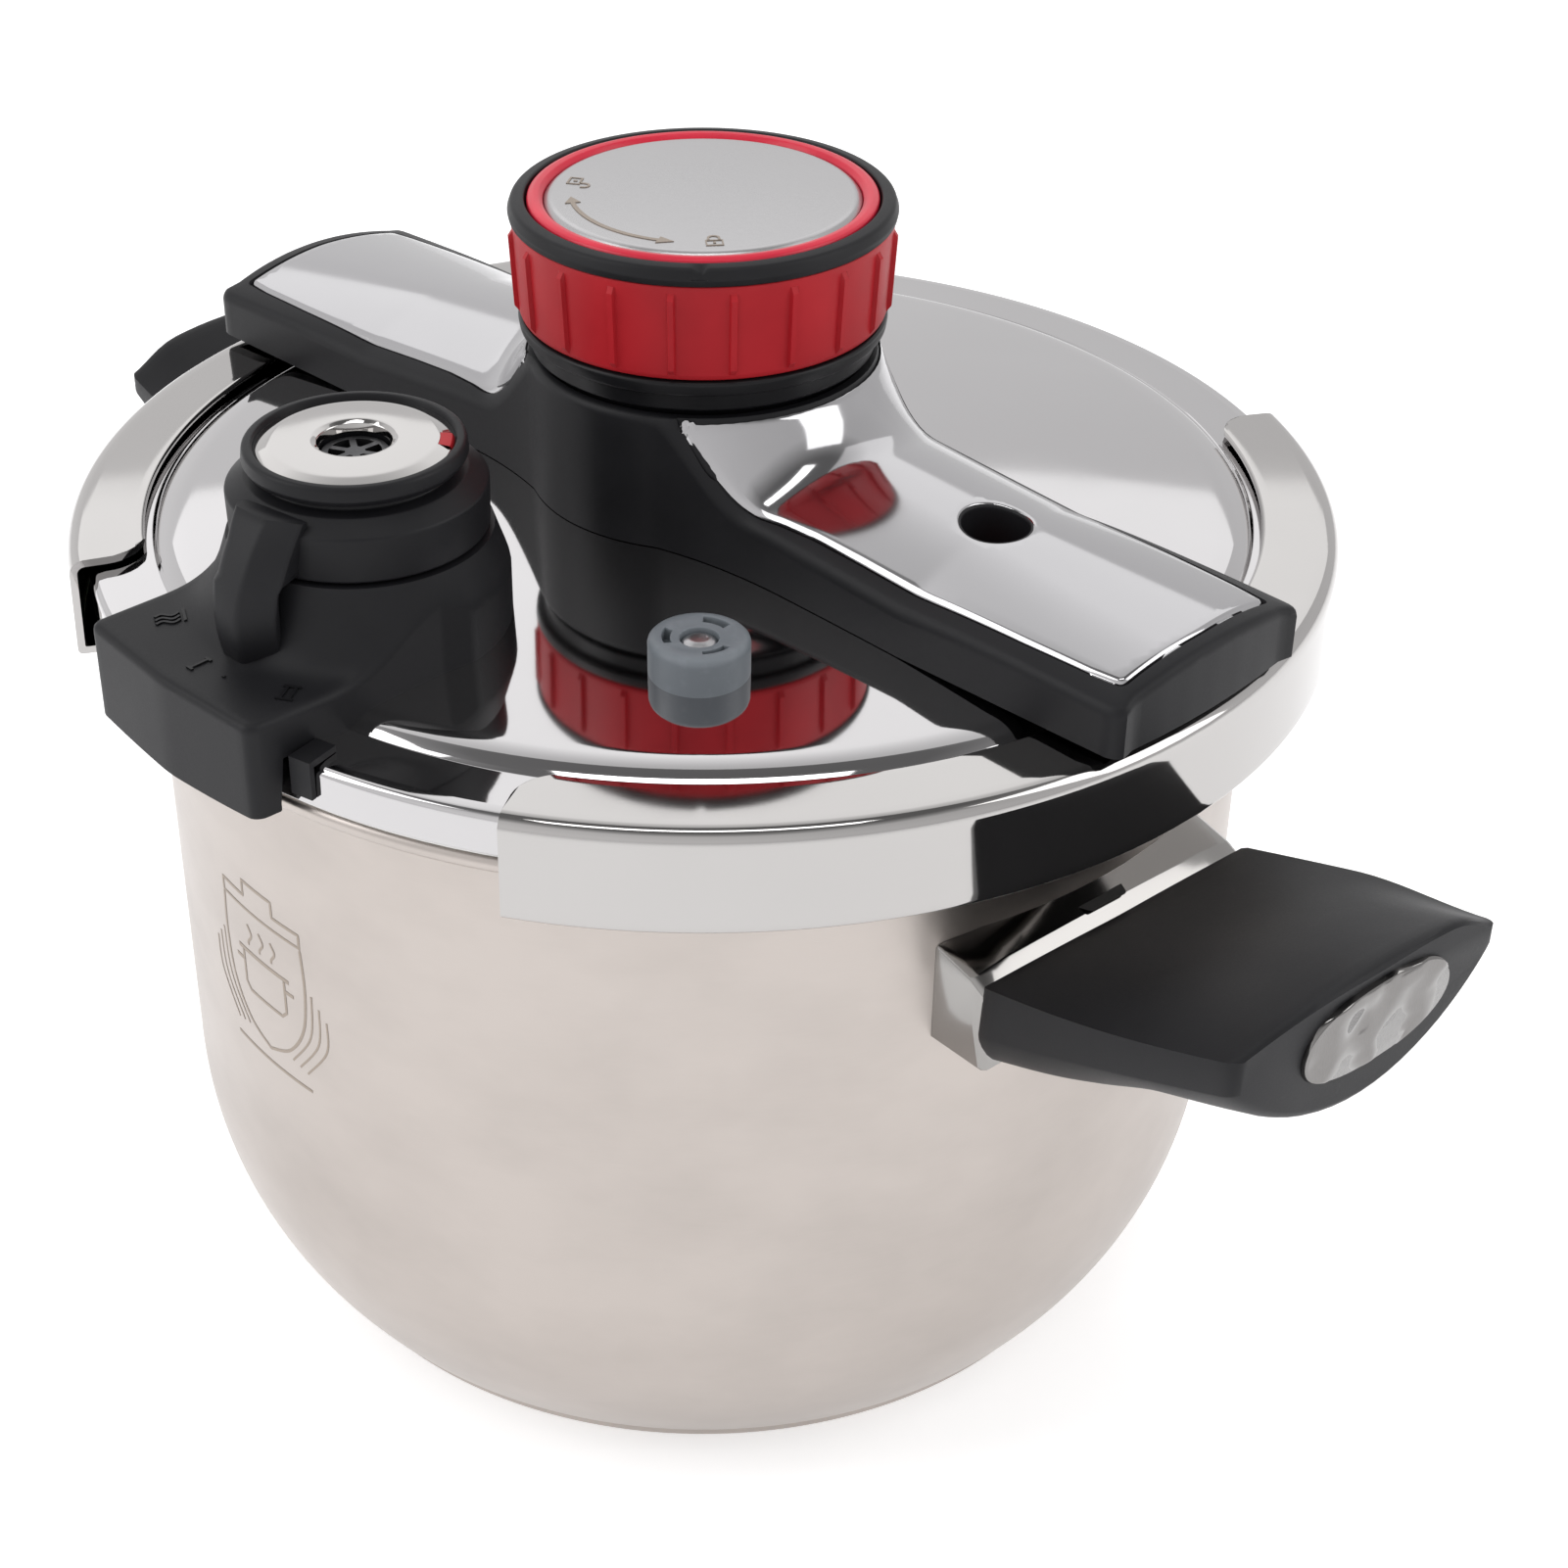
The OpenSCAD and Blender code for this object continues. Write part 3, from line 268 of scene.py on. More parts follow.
def etched_steel(name, colour=(0.30, 0.255, 0.215)):
    """Laser-marked steel: brownish, duller than the metal round it."""
    f = Finish(name, Metallic=0.7)
    speck = f.noise(f.place(), 5.0, 3, 0.7)
    tint = f.mix(f.span(speck, 0.3, 0.7), colour, tuple(c * 1.35 for c in colour))
    return f.vary(Base_Color=tint, Roughness=0.42 + speck * 0.15)


def hammered_steel(name):
    """Polished pressed steel with shallow facets."""
    f = Finish(name, Metallic=1.0)
    at = f.place()
    facets = f.node(
        "ShaderNodeTexVoronoi", {"feature": "SMOOTH_F1"},
        {"Vector": at, "Scale": 0.12, "Smoothness": 0.8}, "Distance",
    )
    hair = f.noise(f.place(6, 6, 0.8), 1.0, 3, 0.7)
    tint = f.mix(hair, (0.27, 0.26, 0.255), (0.20, 0.195, 0.19))
    return f.vary(
        Base_Color=tint, Roughness=0.05 + hair * 0.05, Normal=f.bump(facets, 5.0, 1.0)
    )


def studio_floor(name):
    """Pale matt floor that glows a little, so that it meets the light of the room."""
    f = Finish(name, Roughness=0.9, Emission_Color=(1, 1, 1, 1), Emission_Strength=0.42)
    fleck = f.noise(f.place(), 0.004, 2)
    return f.vary(Base_Color=f.mix(fleck, (0.93, 0.93, 0.935), (0.90, 0.90, 0.905)))


POLISHED = polished_steel("polished_steel")
COVER_POLISH = polished_steel("cover_polish", (0.48, 0.475, 0.485), 0.085, 0.006)
BRACKET_POLISH = polished_steel("bracket_polish", (0.34, 0.33, 0.32), 0.09, 0.010)
LID_POLISH = polished_steel("lid_polish", (0.56, 0.55, 0.555), 0.035, 0.006)
SATIN = satin_body("satin_body")
MACHINED = machined_steel("machined_steel")
SPRING = machined_steel("spring_wire", (0.50, 0.50, 0.51), 0.25)
CORE = machined_steel("aluminium_core", (0.70, 0.71, 0.72), 0.4)
PLATE = brushed_plate("brushed_plate")
BLACK = moulded_plastic("black_plastic", (0.0085, 0.0085, 0.010), 0.42)
BLACK_SMOOTH = moulded_plastic("black_smooth_plastic", (0.006, 0.006, 0.007), 0.30, 0.006)
RED = moulded_plastic("red_plastic", (0.36, 0.010, 0.016), 0.38, 0.008)
RED_BRIGHT = moulded_plastic("bright_red_plastic", (0.60, 0.018, 0.045), 0.28, 0.004, coat=0.2)
IVORY = moulded_plastic("ivory_plastic", (0.75, 0.72, 0.64), 0.4)
GREY_SILICONE = soft_rubber("grey_silicone", (0.17, 0.19, 0.21), 0.42)
WHITE_SILICONE = soft_rubber("white_silicone", (0.72, 0.72, 0.70))
RED_SILICONE = soft_rubber("red_silicone", (0.45, 0.03, 0.025))
RUBBER = soft_rubber("black_rubber", (0.02, 0.02, 0.02), 0.6)
ETCHED = etched_steel("etched_mark")
HAMMERED = hammered_steel("hammered_inlay")

KEPT_FINISH = {
    "steel_polished": POLISHED, "steel_satin": SATIN, "steel_part": MACHINED,
    "steel_spring": SPRING, "plate_brushed": PLATE, "aluminium_core": CORE,
    "plastic_black": BLACK, "plastic_black_smooth": BLACK_SMOOTH, "plastic_red": RED,
    "plastic_red_bright": RED_BRIGHT, "plastic_ivory": IVORY, "silicone_grey": GREY_SILICONE,
    "silicone_white": WHITE_SILICONE, "silicone_red": RED_SILICONE, "rubber_black": RUBBER,
}
SLOT_OF = {s["node"]: s["material_slot"] for s in frame["record"]["subparts"]}
for node_name, node_object in NODES.items():
    node_object.data.materials.clear()
    node_object.data.materials.append(KEPT_FINISH[SLOT_OF[node_name]])


# Painted shade: the valve weight sits in shade under the dial's disc, so its steel is given a dark colour.
WEIGHT = machined_steel("weight_painted_shade_steel", (0.10, 0.10, 0.105), 0.35)
NODES["valve_weight"].data.materials[0] = WEIGHT


# ------ shape tools


def piece(name, points, faces, body, slot, finish, stands_for=(), crease=38):
    """A mesh piece from points in millimetres that rides on a body and may stand for CAD nodes."""
    mesh = bpy.data.meshes.new(name)
    mesh.from_pydata([Vector(p) * MM for p in points], [], faces)
    mesh.validate()
    made = bpy.data.objects.new(name, mesh)
    bpy.context.scene.collection.objects.link(made)
    mesh.shade_smooth()
    mesh.set_sharp_from_angle(angle=radians(crease))
    mesh.materials.append(finish)
    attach(made, body)
    if stands_for:
        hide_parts(*stands_for)
    return made


def rounded(corners, closed=True, steps=6):
    """Outline with each corner (a, b, radius) rounded by an arc."""
    count = len(corners)
    path = []
    for i, (a, b, radius) in enumerate(corners):
        here = Vector((a, b))
        if radius <= 0 or (not closed and i in (0, count - 1)):
            path.append((a, b))
            continue
        back = Vector(corners[i - 1][:2]) - here
        ahead = Vector(corners[(i + 1) % count][:2]) - here
        half = back.angle(ahead) / 2
        if half > pi / 2 - 0.01:
            path.append((a, b))
            continue
        reach = min(radius / tan(half), 0.49 * back.length, 0.49 * ahead.length)
        true_radius = reach * tan(half)
        centre = here + (back.normalized() + ahead.normalized()).normalized() * (true_radius / sin(half))
        first = here + back.normalized() * reach - centre
        last = here + ahead.normalized() * reach - centre
        turn = first.angle_signed(last)
        for k in range(steps + 1):
            t = -turn * k / steps
            path.append((
                centre.x + first.x * cos(t) - first.y * sin(t),
                centre.y + first.x * sin(t) + first.y * cos(t),
            ))
    return path


def arc(ca, cb, radius, start, end, steps):
    """Points on an arc about (ca, cb), in degrees."""
    return [
        (
            ca + radius * cos(radians(start + (end - start) * k / steps)),
            cb + radius * sin(radians(start + (end - start) * k / steps)),
        )
        for k in range(steps + 1)
    ]


def lofted(rings, wrap=False, closed=True, flip=False, ends=False):
    """Points and faces between neighbouring rings of one length, with flat ends if wanted."""
    count = len(rings[0])
    points = [point for ring in rings for point in ring]
    faces = []
    for i in range(len(rings) if wrap else len(rings) - 1):
        here, there = i * count, (i + 1) % len(rings) * count
        for k in range(count if closed else count - 1):
            m = (k + 1) % count
            face = (here + k, there + k, there + m, here + m)
            faces.append((face[0], face[3], face[2], face[1]) if flip else face)
    if ends:
        first, last = tuple(range(count)), tuple(range(len(points) - count, len(points)))
        faces += [first[::-1], last] if flip else [first, last[::-1]]
    return points, faces


def spun(profile, centre=(0, 0), steps=180, closed=True):
    """Points and faces of a profile (radius, height) turned about a standing axis."""
    count = len(profile)
    on_axis = {k for k, (r, _) in enumerate(profile) if r < 1e-6}
    rings = []
    for i in range(steps):
        turn = 2 * pi * i / steps
        rings.append([(centre[0] + r * cos(turn), centre[1] + r * sin(turn), z) for r, z in profile])
    points, faces = lofted(rings, True, closed)
    return points, [face for face in faces if not {face[0] % count, face[2] % count} <= on_axis]


def joined(*shapes):
    """Several (points, faces) as one."""
    points, faces = [], []
    for more_points, more_faces in shapes:
        start = len(points)
        points += more_points
        faces += [tuple(start + i for i in face) for face in more_faces]
    return points, faces


def turned(shape, degrees, centre=(0, 0)):
    """A shape turned about the Z axis and then moved to a centre."""
    c, s = cos(radians(degrees)), sin(radians(degrees))
    points, faces = shape
    return [(centre[0] + x * c - y * s, centre[1] + x * s + y * c, z) for x, y, z in points], faces


def inward(loop, distance):
    """A counter-clockwise loop moved inwards."""
    moved = []
    for i, (x, y) in enumerate(loop):
        ahead = Vector(loop[(i + 1) % len(loop)]) - Vector((x, y))
        back = Vector((x, y)) - Vector(loop[i - 1])
        across = (ahead.normalized() + back.normalized()).normalized()
        widen = 1 / max(0.5, across.dot(ahead.normalized()))
        moved.append((x - across.y * distance * widen, y + across.x * distance * widen))
    return moved


def inside(x, y, loop):
    """Whether a point lies in a loop."""
    found = False
    for i, (ax, ay) in enumerate(loop):
        bx, by = loop[i - 1]
        if (ay > y) != (by > y) and x < (bx - ax) * (y - ay) / (by - ay) + ax:
            found = not found
    return found


def even(loop, spacing):
    """A loop with extra points so that no side is longer than spacing."""
    path = []
    for i, here in enumerate(loop):
        there = loop[(i + 1) % len(loop)]
        parts = max(1, ceil(dist(here, there) / spacing))
        for k in range(parts):
            path.append((
                here[0] + (there[0] - here[0]) * k / parts,
                here[1] + (there[1] - here[1]) * k / parts,
            ))
    return path


def stepped(path, spacing=0.8):
    """An open path with extra points."""
    found = [path[0]]
    for a, b in zip(path, path[1:]):
        parts = max(1, ceil(dist(a, b) / spacing))
        found += [
            (a[0] + (b[0] - a[0]) * k / parts, a[1] + (b[1] - a[1]) * k / parts)
            for k in range(1, parts + 1)
        ]
    return found


def capped(outline, top_of, edge, bottom_of, spacing, holes=(), hole_edge=0.0, lower=0.0, grooves=()):
    """A plate or hood over a plan outline: a shaped top with rolled edges, and walls down to bottom_of.
    Loops run counter-clockwise. Holes are loops too, with their own edge radius.
    Grooves are pairs of a loop and how far the top drops on it."""
    coords, depth, ties, rims = [], [], [], []

    def add_loop(loop, drop):
        start = len(coords)
        coords.extend(loop)
        depth.extend([drop] * len(loop))
        ties.extend((start + i, start + (i + 1) % len(loop)) for i in range(len(loop)))
        return list(range(start, start + len(loop)))

    bends = [0.0, 0.13, 0.5, 1.0]
    for loop, radius, sign in [(outline, edge, 1)] + [(h, hole_edge, -1) for h in holes]:
        for n, share in enumerate(bends if radius > 0 else [0.0]):
            fall = radius * (1 - sqrt(max(0, 1 - (1 - share) ** 2)))
            path = loop if share == 0 else inward(loop, sign * radius * share)
            added = add_loop(path, fall)
            if n == 0:
                rims.append((added, sign))
    for loop, drop in grooves:
        add_loop(loop, drop)
    bands = [(inward(loop, -spacing * 0.4), inward(loop, spacing * 0.4)) for loop, drop in grooves]
    clear = inward(outline, edge + spacing * 0.45)
    hole_clear = [inward(h, -(hole_edge + spacing * 0.45)) for h in holes]
    xs, ys = [p[0] for p in outline], [p[1] for p in outline]
    for i in range(int(min(xs) / spacing) - 1, int(max(xs) / spacing) + 2):
        for j in range(int(min(ys) / spacing) - 1, int(max(ys) / spacing) + 2):
            x, y = (i + 0.5 * (j % 2)) * spacing, j * spacing * 0.9
            if not inside(x, y, clear) or any(inside(x, y, h) for h in hole_clear):
                continue
            if any(inside(x, y, wide) and not inside(x, y, slim) for wide, slim in bands):
                continue
            coords.append((x, y))
            depth.append(sum(drop for loop, drop in grooves if inside(x, y, loop)))
    found = delaunay_2d_cdt([Vector(c) for c in coords], ties, [], 0, 1e-5)
    flat, tris, origin = found[0], found[2], found[3]
    drops = [min((depth[o] for o in group), default=0.0) for group in origin]
    index = {}
    for new, group in enumerate(origin):
        for old in group:
            index[old] = new
    points = [(p.x, p.y, top_of(p.x, p.y) - d) for p, d in zip(flat, drops)]
    faces = []
    for tri in tris:
        x = sum(flat[i].x for i in tri) / 3
        y = sum(flat[i].y for i in tri) / 3
        if inside(x, y, outline) and not any(inside(x, y, h) for h in holes):
            faces.append(tuple(tri))
    for rim, sign in rims:
        ring = [index[i] for i in rim]
        shoulder = len(points)
        for i in ring:
            x, y, z = points[i]
            points.append((x, y, max(z - 0.5, (z + bottom_of(x, y)) / 2)))
        for k in range(len(ring)):
            m = (k + 1) % len(ring)
            wall = (ring[k], shoulder + k, shoulder + m, ring[m])
            faces.append(wall if sign == 1 else wall[::-1])
        ring = [shoulder + k for k in range(len(ring))]
        start = len(points)
        for i in ring:
            x, y, _ = points[i]
            points.append((x, y, bottom_of(x, y)))
        if lower and sign == 1:
            inner = inward([points[i][:2] for i in ring], lower)
            points += [(x, y, bottom_of(x, y)) for x, y in inner]
        for k in range(len(ring)):
            m = (k + 1) % len(ring)
            wall = (ring[k], start + k, start + m, ring[m])
            faces.append(wall if sign == 1 else wall[::-1])
            if lower and sign == 1:
                count = len(ring)
                faces.append((start + k, start + count + k, start + count + m, start + m))
    return points, faces


def circle(cx, cy, radius, steps=72):
    return [
        (cx + radius * cos(2 * pi * i / steps), cy + radius * sin(2 * pi * i / steps))
        for i in range(steps)
    ]


def ribbon(path, width, height, to_space, closed=False):
    """A raised line of that width along a flat path, laid on a surface by to_space(u, v, height)."""
    points, faces = [], []
    count = len(path)
    for i in range(count):
        before = Vector(path[i - 1] if closed or i else path[0])
        after = Vector(path[(i + 1) % count] if closed or i < count - 1 else path[-1])
        along = (after - before).normalized()
        side = Vector((-along.y, along.x)) * width / 2
        u, v = path[i]
        for turn, lift in ((1, 0), (1, height), (-1, height), (-1, 0)):
            points.append(to_space(u + side.x * turn, v + side.y * turn, lift))
    for i in range(count if closed else count - 1):
        a, b = i * 4, ((i + 1) % count) * 4
        faces += [(a, a + 1, b + 1, b), (a + 1, a + 2, b + 2, b + 1), (a + 2, a + 3, b + 3, b + 2)]
    if not closed:
        end = (count - 1) * 4
        faces += [(3, 2, 1, 0), (end, end + 1, end + 2, end + 3)]
    return points, faces


def blob(loop, height, to_space):
    """A raised flat patch inside a loop."""
    count = len(loop)
    points = [to_space(u, v, height) for u, v in loop] + [to_space(u, v, 0) for u, v in loop]
    faces = [tuple(range(count))]
    faces += [(i, i + count, (i + 1) % count + count, (i + 1) % count) for i in range(count)]
    return points, faces


def smooth(t):
    t = max(0.0, min(1.0, t))
    return t * t * (3 - 2 * t)


# ------ pot

rim_r = high("pot_body").x
rim_z = high("pot_body").z
wall_r = rim_r - 10
foot_z = low("pot_body").z
bead = 1.75
belly = 80
cove_r = 7.5
cove_z = rim_z - bead + 0.5 - 1 - cove_r
belly_z = foot_z + sqrt(belly ** 2 - (belly - 16.8) ** 2)
belly_low = -degrees(asin((belly_z - foot_z) / belly))

belly_arc = arc(wall_r - belly, belly_z, belly, belly_low, 0, 28)
pot_profile = [(0, foot_z)]
pot_profile += rounded(
    [(0, foot_z, 0), (wall_r - 16.8, foot_z, 4)] + [(r, z, 0) for r, z in belly_arc[1:4]],
    False,
)[1:-1]
pot_profile += belly_arc[4:]
pot_profile += [(wall_r, belly_z + (cove_z - belly_z) * k / 5) for k in range(1, 5)]
pot_profile += arc(wall_r + cove_r, cove_z, cove_r, 180, 90, 10)
pot_profile += arc(rim_r - bead, rim_z - bead, bead, -150, 90, 18)
pot_profile += arc(wall_r + cove_r, cove_z, cove_r + 1, 90, 180, 10)
pot_profile += [(wall_r - 1, belly_z)]
pot_profile += arc(wall_r - belly, belly_z, belly - 1, 0, belly_low + 1, 20)[1:]
pot_profile += [(wall_r - 22, foot_z + 1), (0, foot_z + 1)]
piece("pot_shell", *spun(pot_profile, steps=240, closed=False), "pot", "steel_satin", SATIN, ["pot_body"])

cap_r = high("base_cap").x
cap_profile = rounded([
    (0, 0, 0), (cap_r - 2.2, 0, 0.4), (cap_r - 1.6, 0.35, 0.3), (cap_r, 0.9, 0.7),
    (cap_r, foot_z - 0.1, 0.25), (cap_r - 2.5, foot_z, 0), (0, foot_z, 0),
], False, 4)
piece(
    "base_cap_shell", *spun(cap_profile, steps=240, closed=False), "pot", "steel_satin", SATIN, ["base_cap"],
)

# ------ lid

lid_top = high("lid").z
lid_r = (high("lid").x - low("lid").x) / 2
skirt_z = low("lid").z
ledge_z = rim_z + 9.8
disc_r = wall_r - 2.1
dome_r = 1668.0


def lid_height(r):
    """Top of the lid's skin at a distance from the axis."""
    if r < disc_r - 7.5:
        return min(lid_top, lid_top + 0.06 - r * r / (2 * dome_r))
    if r < disc_r:
        t = (r - disc_r + 7.5) / 7.5
        start = lid_top + 0.06 - (disc_r - 7.5) ** 2 / (2 * dome_r)
        slope = (disc_r - 7.5) / dome_r * 7.5
        return start - slope * t - (start - slope - ledge_z) * t ** 2.6
    return ledge_z


lid_profile = [(0, lid_top), (14, lid_top)]
lid_profile += [(14 + (disc_r - 22) * k / 16, lid_height(14 + (disc_r - 22) * k / 16)) for k in range(1, 17)]
lid_profile += [(disc_r - 7.5 + 7.5 * k / 14, lid_height(disc_r - 7.5 + 7.5 * k / 14)) for k in range(1, 14)]
lid_profile += rounded([
    (disc_r - 0.4, ledge_z + 0.5, 0), (disc_r + 0.3, ledge_z, 0.6), (lid_r - 3.2, ledge_z - 0.15, 1.0),
    (lid_r - 0.2, ledge_z - 0.5, 2.2), (lid_r, skirt_z + 0.3, 0.3), (lid_r - 0.5, skirt_z, 0.3),
    (lid_r - 1.0, skirt_z + 0.3, 0.3), (lid_r - 1.2, ledge_z - 1.5, 1.5), (disc_r, ledge_z - 1, 1),
    (disc_r - 8, lid_height(disc_r - 8) - 1, 0),
], False, 8)
lid_profile += [(60, lid_height(60) - 1), (0, lid_top - 1)]
piece("lid_shell", *spun(lid_profile, steps=240, closed=False), "lid", "steel_polished", LID_POLISH, ["lid"])

# ------ jaws

jaw_r = high("jaw_right").x
jaw_top = high("jaw_right").z
jaw_low = low("jaw_right").z
jaw_in = disc_r + 1.6
jaw_half = degrees(asin(high("jaw_right").y / jaw_r))
jaw_sheet = 1.5
jaw_corner = 8
jaw_steps = 72
lip_r = wall_r + 2.2


def jaw_shape(side):
    """A pressed channel: top flange, skirt and inner lip, with rounded ends on the flange."""
    outer = [
        (jaw_in, jaw_top - 0.9, 0.5), (jaw_in + 0.5, jaw_top, 0.5), (jaw_r - 0.4, jaw_top - 0.35, 3.0),
        (jaw_r, jaw_low, 1.1), (lip_r, jaw_low, 1.1), (lip_r, jaw_low + 3.3, 0.5),
        (lip_r + jaw_sheet, jaw_low + 3.3, 0.5), (lip_r + jaw_sheet, jaw_low + jaw_sheet, 0.4),
        (jaw_r - jaw_sheet, jaw_low + jaw_sheet, 0.4),
        (jaw_r - jaw_sheet - 0.3, jaw_top - jaw_sheet - 0.3, 1.6),
        (jaw_in + 0.5, jaw_top - jaw_sheet, 0.4),
    ]
    rings = []
    for i in range(jaw_steps + 1):
        share = 2 * i / jaw_steps - 1
        ease = copysign(abs(share) ** 0.8, share)
        ring = []
        for r, z in even(rounded(outer, True, 5), 1.6):
            limit = jaw_half
            if z > jaw_top - 3 and r < jaw_in + jaw_corner:
                gap = jaw_corner - max(0.0, r - jaw_in)
                limit -= degrees((jaw_corner - sqrt(max(0, jaw_corner ** 2 - gap ** 2))) / r)
            turn = radians(side + ease * limit)
            ring.append((r * cos(turn), r * sin(turn), z))
        rings.append(ring)
    return lofted(rings, flip=True, ends=True)


piece("jaw_shell_right", *jaw_shape(0), "jaw_right", "steel_polished", POLISHED, ["jaw_right"], 40)
piece("jaw_shell_left", *jaw_shape(180), "jaw_left", "steel_polished", POLISHED, ["jaw_left"], 40)

# ------ beam

beam_end = high("beam_housing").x
beam_half = (high("beam_cover_right").y - low("beam_cover_right").y) / 2
neck_r = high("beam_housing").y
neck_z = high("beam_housing").z
beam_low = low("beam_housing").z
sight = middle("float_pin")
sight_r = 6.6
back_z = jaw_top + 18.9
sweep_r = 47
waist_x = 17
waist_length = 30


def crown(x, y):
    """Height of the beam's back: falls outwards, and bows down to its sides."""
    x = abs(x)
    bow = 42 + max(0.0, x - 76) * 0.8
    return back_z - (x - 75.2) * tan(radians(4.6)) - y * y / (2 * bow)


def beam_back(x, y):
    """The beam's back with the sweep up to the neck."""
    r = hypot(x, y)
    rise = max(0.0, min(1.0, (sweep_r - r) / (sweep_r - neck_r)))
    base = crown(x, y)
    return base + (neck_z - base) * rise ** 2.4


def beam_side(x):
    """Half width of the beam, swelling smoothly round the neck."""
    x = abs(x)
    if x < waist_x:
        return sqrt(max(0.0, neck_r ** 2 - x * x))
    start = sqrt(neck_r ** 2 - waist_x ** 2)
    t = min(1.0, (x - waist_x) / waist_length)
    return beam_half + (start - beam_half) * (1 - t) ** 2.2


def beam_outline():
    """Plan of the beam, counter-clockwise."""
    stations = [beam_end - 3 - (beam_end - 3) * k / 70 for k in range(141)]
    far = [(x, beam_side(x)) for x in stations]
    near = [(x, -beam_side(x)) for x in reversed(stations)]
    def end(side):
        bow = [(side * (beam_end - 0.022 * y * y * 0.12), y) for y in (-21, -14, -7, 0, 7, 14, 21)]
        corner = [(side * (beam_end - 0.5), -24.2), (side * (beam_end - 1.4), -25.4)]
        path = corner[::-1] + bow + [(x, -y) for x, y in corner]
        return path if side > 0 else path[::-1]
    return near + end(1) + far + end(-1)


def cover_outline(gap):
    """Plan of a polished cover on the right arm, counter-clockwise, drawn in by gap."""
    edge = [
        (31.0, 24.9), (36, 24.0), (43, 22.9), (51, 22.2), (62, 22.0), (80, 22.0), (100, 21.6), (114, 21.0),
    ]
    start_turn = 53.7 - gap * 1.6
    neck = arc(0, 0, neck_r + 0.15 + gap, start_turn, -start_turn, 24)
    near = [(27, -26.0 + gap)] + [(x, -y + gap) for x, y in edge]
    end = rounded([
        (114, -21.0 + gap, 0), (beam_end - 4.9 - gap, -20.2 + gap, 1.6), (beam_end - 3.9 - gap, 0, 60),
        (beam_end - 4.9 - gap, 20.2 - gap, 1.6), (114, 21.0 - gap, 0),
    ], False, 6)[1:-1]
    far = [(x, -y) for x, y in near[::-1]]
    loop = [(x, y, 0) for x, y in neck + near + end + far]
    for corner in (0, len(neck) - 1):
        loop[corner] = (*loop[corner][:2], 1.6)
    return rounded(loop, True, 4)


outline = even(beam_outline(), 2.0)
neck_bore = circle(0, 0, neck_r - 2.4, 96)
sight_bore = circle(sight.x, 0, sight_r - 0.3, 48)


def beam_foot(x, y):
    """Lower edge of the beam, just over the lid."""
    return max(beam_low, lid_height(hypot(x, y)) + 0.15)


rims = []
for gap, drop in ((-0.6, 0.0), (-0.3, 0.9)):
    plan = even(cover_outline(gap), 1.6)
    rims += [(plan, drop), ([(-x, -y) for x, y in plan], drop)]
housing = capped(outline, beam_back, 1.5, beam_foot, 1.9, [neck_bore, sight_bore], 0.5, 2.4, rims)
piece("beam_hood", *housing, "lid", "plastic_black", BLACK, ["beam_housing"], 42)


def cover_back(x, y):
    """Top of a polished cover, a little proud of the hood."""
    return beam_back(x, y) + 0.25


def cover_under(x, y):
    return beam_back(x, y) - 0.75


cover_plan = even(cover_outline(0.0), 1.6)
right_cover = capped(cover_plan, cover_back, 1.0, cover_under, 1.5, [circle(sight.x, 0, sight_r, 48)], 0.8)
left_cover = capped(cover_plan, cover_back, 1.0, cover_under, 1.5)
piece("cover_right", *right_cover, "lid", "steel_polished", COVER_POLISH, ["beam_cover_right"], 45)
piece("cover_left", *turned(left_cover, 180), "lid", "steel_polished", COVER_POLISH, ["beam_cover_left"], 45)

# ------ knob

grip_low, grip_high = low("knob_grip").z, high("knob_grip").z
grip_r = high("knob_grip").x
trim_top = high("knob_trim_ring").z
trim_r = high("knob_trim_ring").x
plate_r = high("knob_plate").x
knob_r = high("knob_rim").x
collar_z = neck_z + 1.1

core_profile = rounded([
    (9, collar_z - 5, 0), (neck_r - 3.9, collar_z - 5, 0.5), (neck_r - 3.9, collar_z, 0.4),
    (neck_r - 1.0, collar_z, 0.7), (neck_r - 0.6, collar_z + 3.6, 0.5), (grip_r - 1.6, collar_z + 4.0, 0.8),
    (grip_r - 1.2, grip_low - 0.2, 0.7), (grip_r - 4.0, grip_low, 0), (grip_r - 4.0, grip_high, 0),
    (9, grip_high, 0),
], True, 5)
shaft = low("knob_core").z
shaft_profile = [(4.6, shaft), (9, shaft), (9, collar_z), (4.6, collar_z)]
piece(
    "knob_body", *joined(spun(core_profile, steps=160), spun(shaft_profile, steps=48)),
    "knob", "plastic_black", BLACK_SMOOTH, ["knob_core"],
)

ribs = 20
rib_height = 0.85
band_rows = rounded([
    (-2.6, grip_low + 0.15, 0), (-0.35, grip_low + 0.15, 0.8), (0, grip_low + 1.2, 0.8),
    (0.95, grip_high - 0.1, 0.3), (-2.0, grip_high + 0.2, 0),
], False, 5)
band_rows = stepped(band_rows, 1.2)
rib_place = [(-0.80, 0), (-0.55, 1), (0, 1), (0.55, 1), (0.80, 0)]
rib_place += [(0.8 + 0.9 * k, 0) for k in range(1, 11)]
band_rings = []
for i in range(ribs):
    for shift, raised in rib_place:
        turn = 2 * pi * i / ribs + shift / grip_r
        ring = []
        for r, z in band_rows:
            tall = smooth((z - grip_low - 1.2) / 0.8) * smooth((grip_high - 2.2 - z) / 0.5)
            radius = grip_r - 1.45 + r + raised * rib_height * tall
            ring.append((radius * cos(turn), radius * sin(turn), z))
        band_rings.append(ring)
piece("grip_band", *lofted(band_rings, True, False), "knob", "plastic_red", RED, ["knob_grip"], 28)

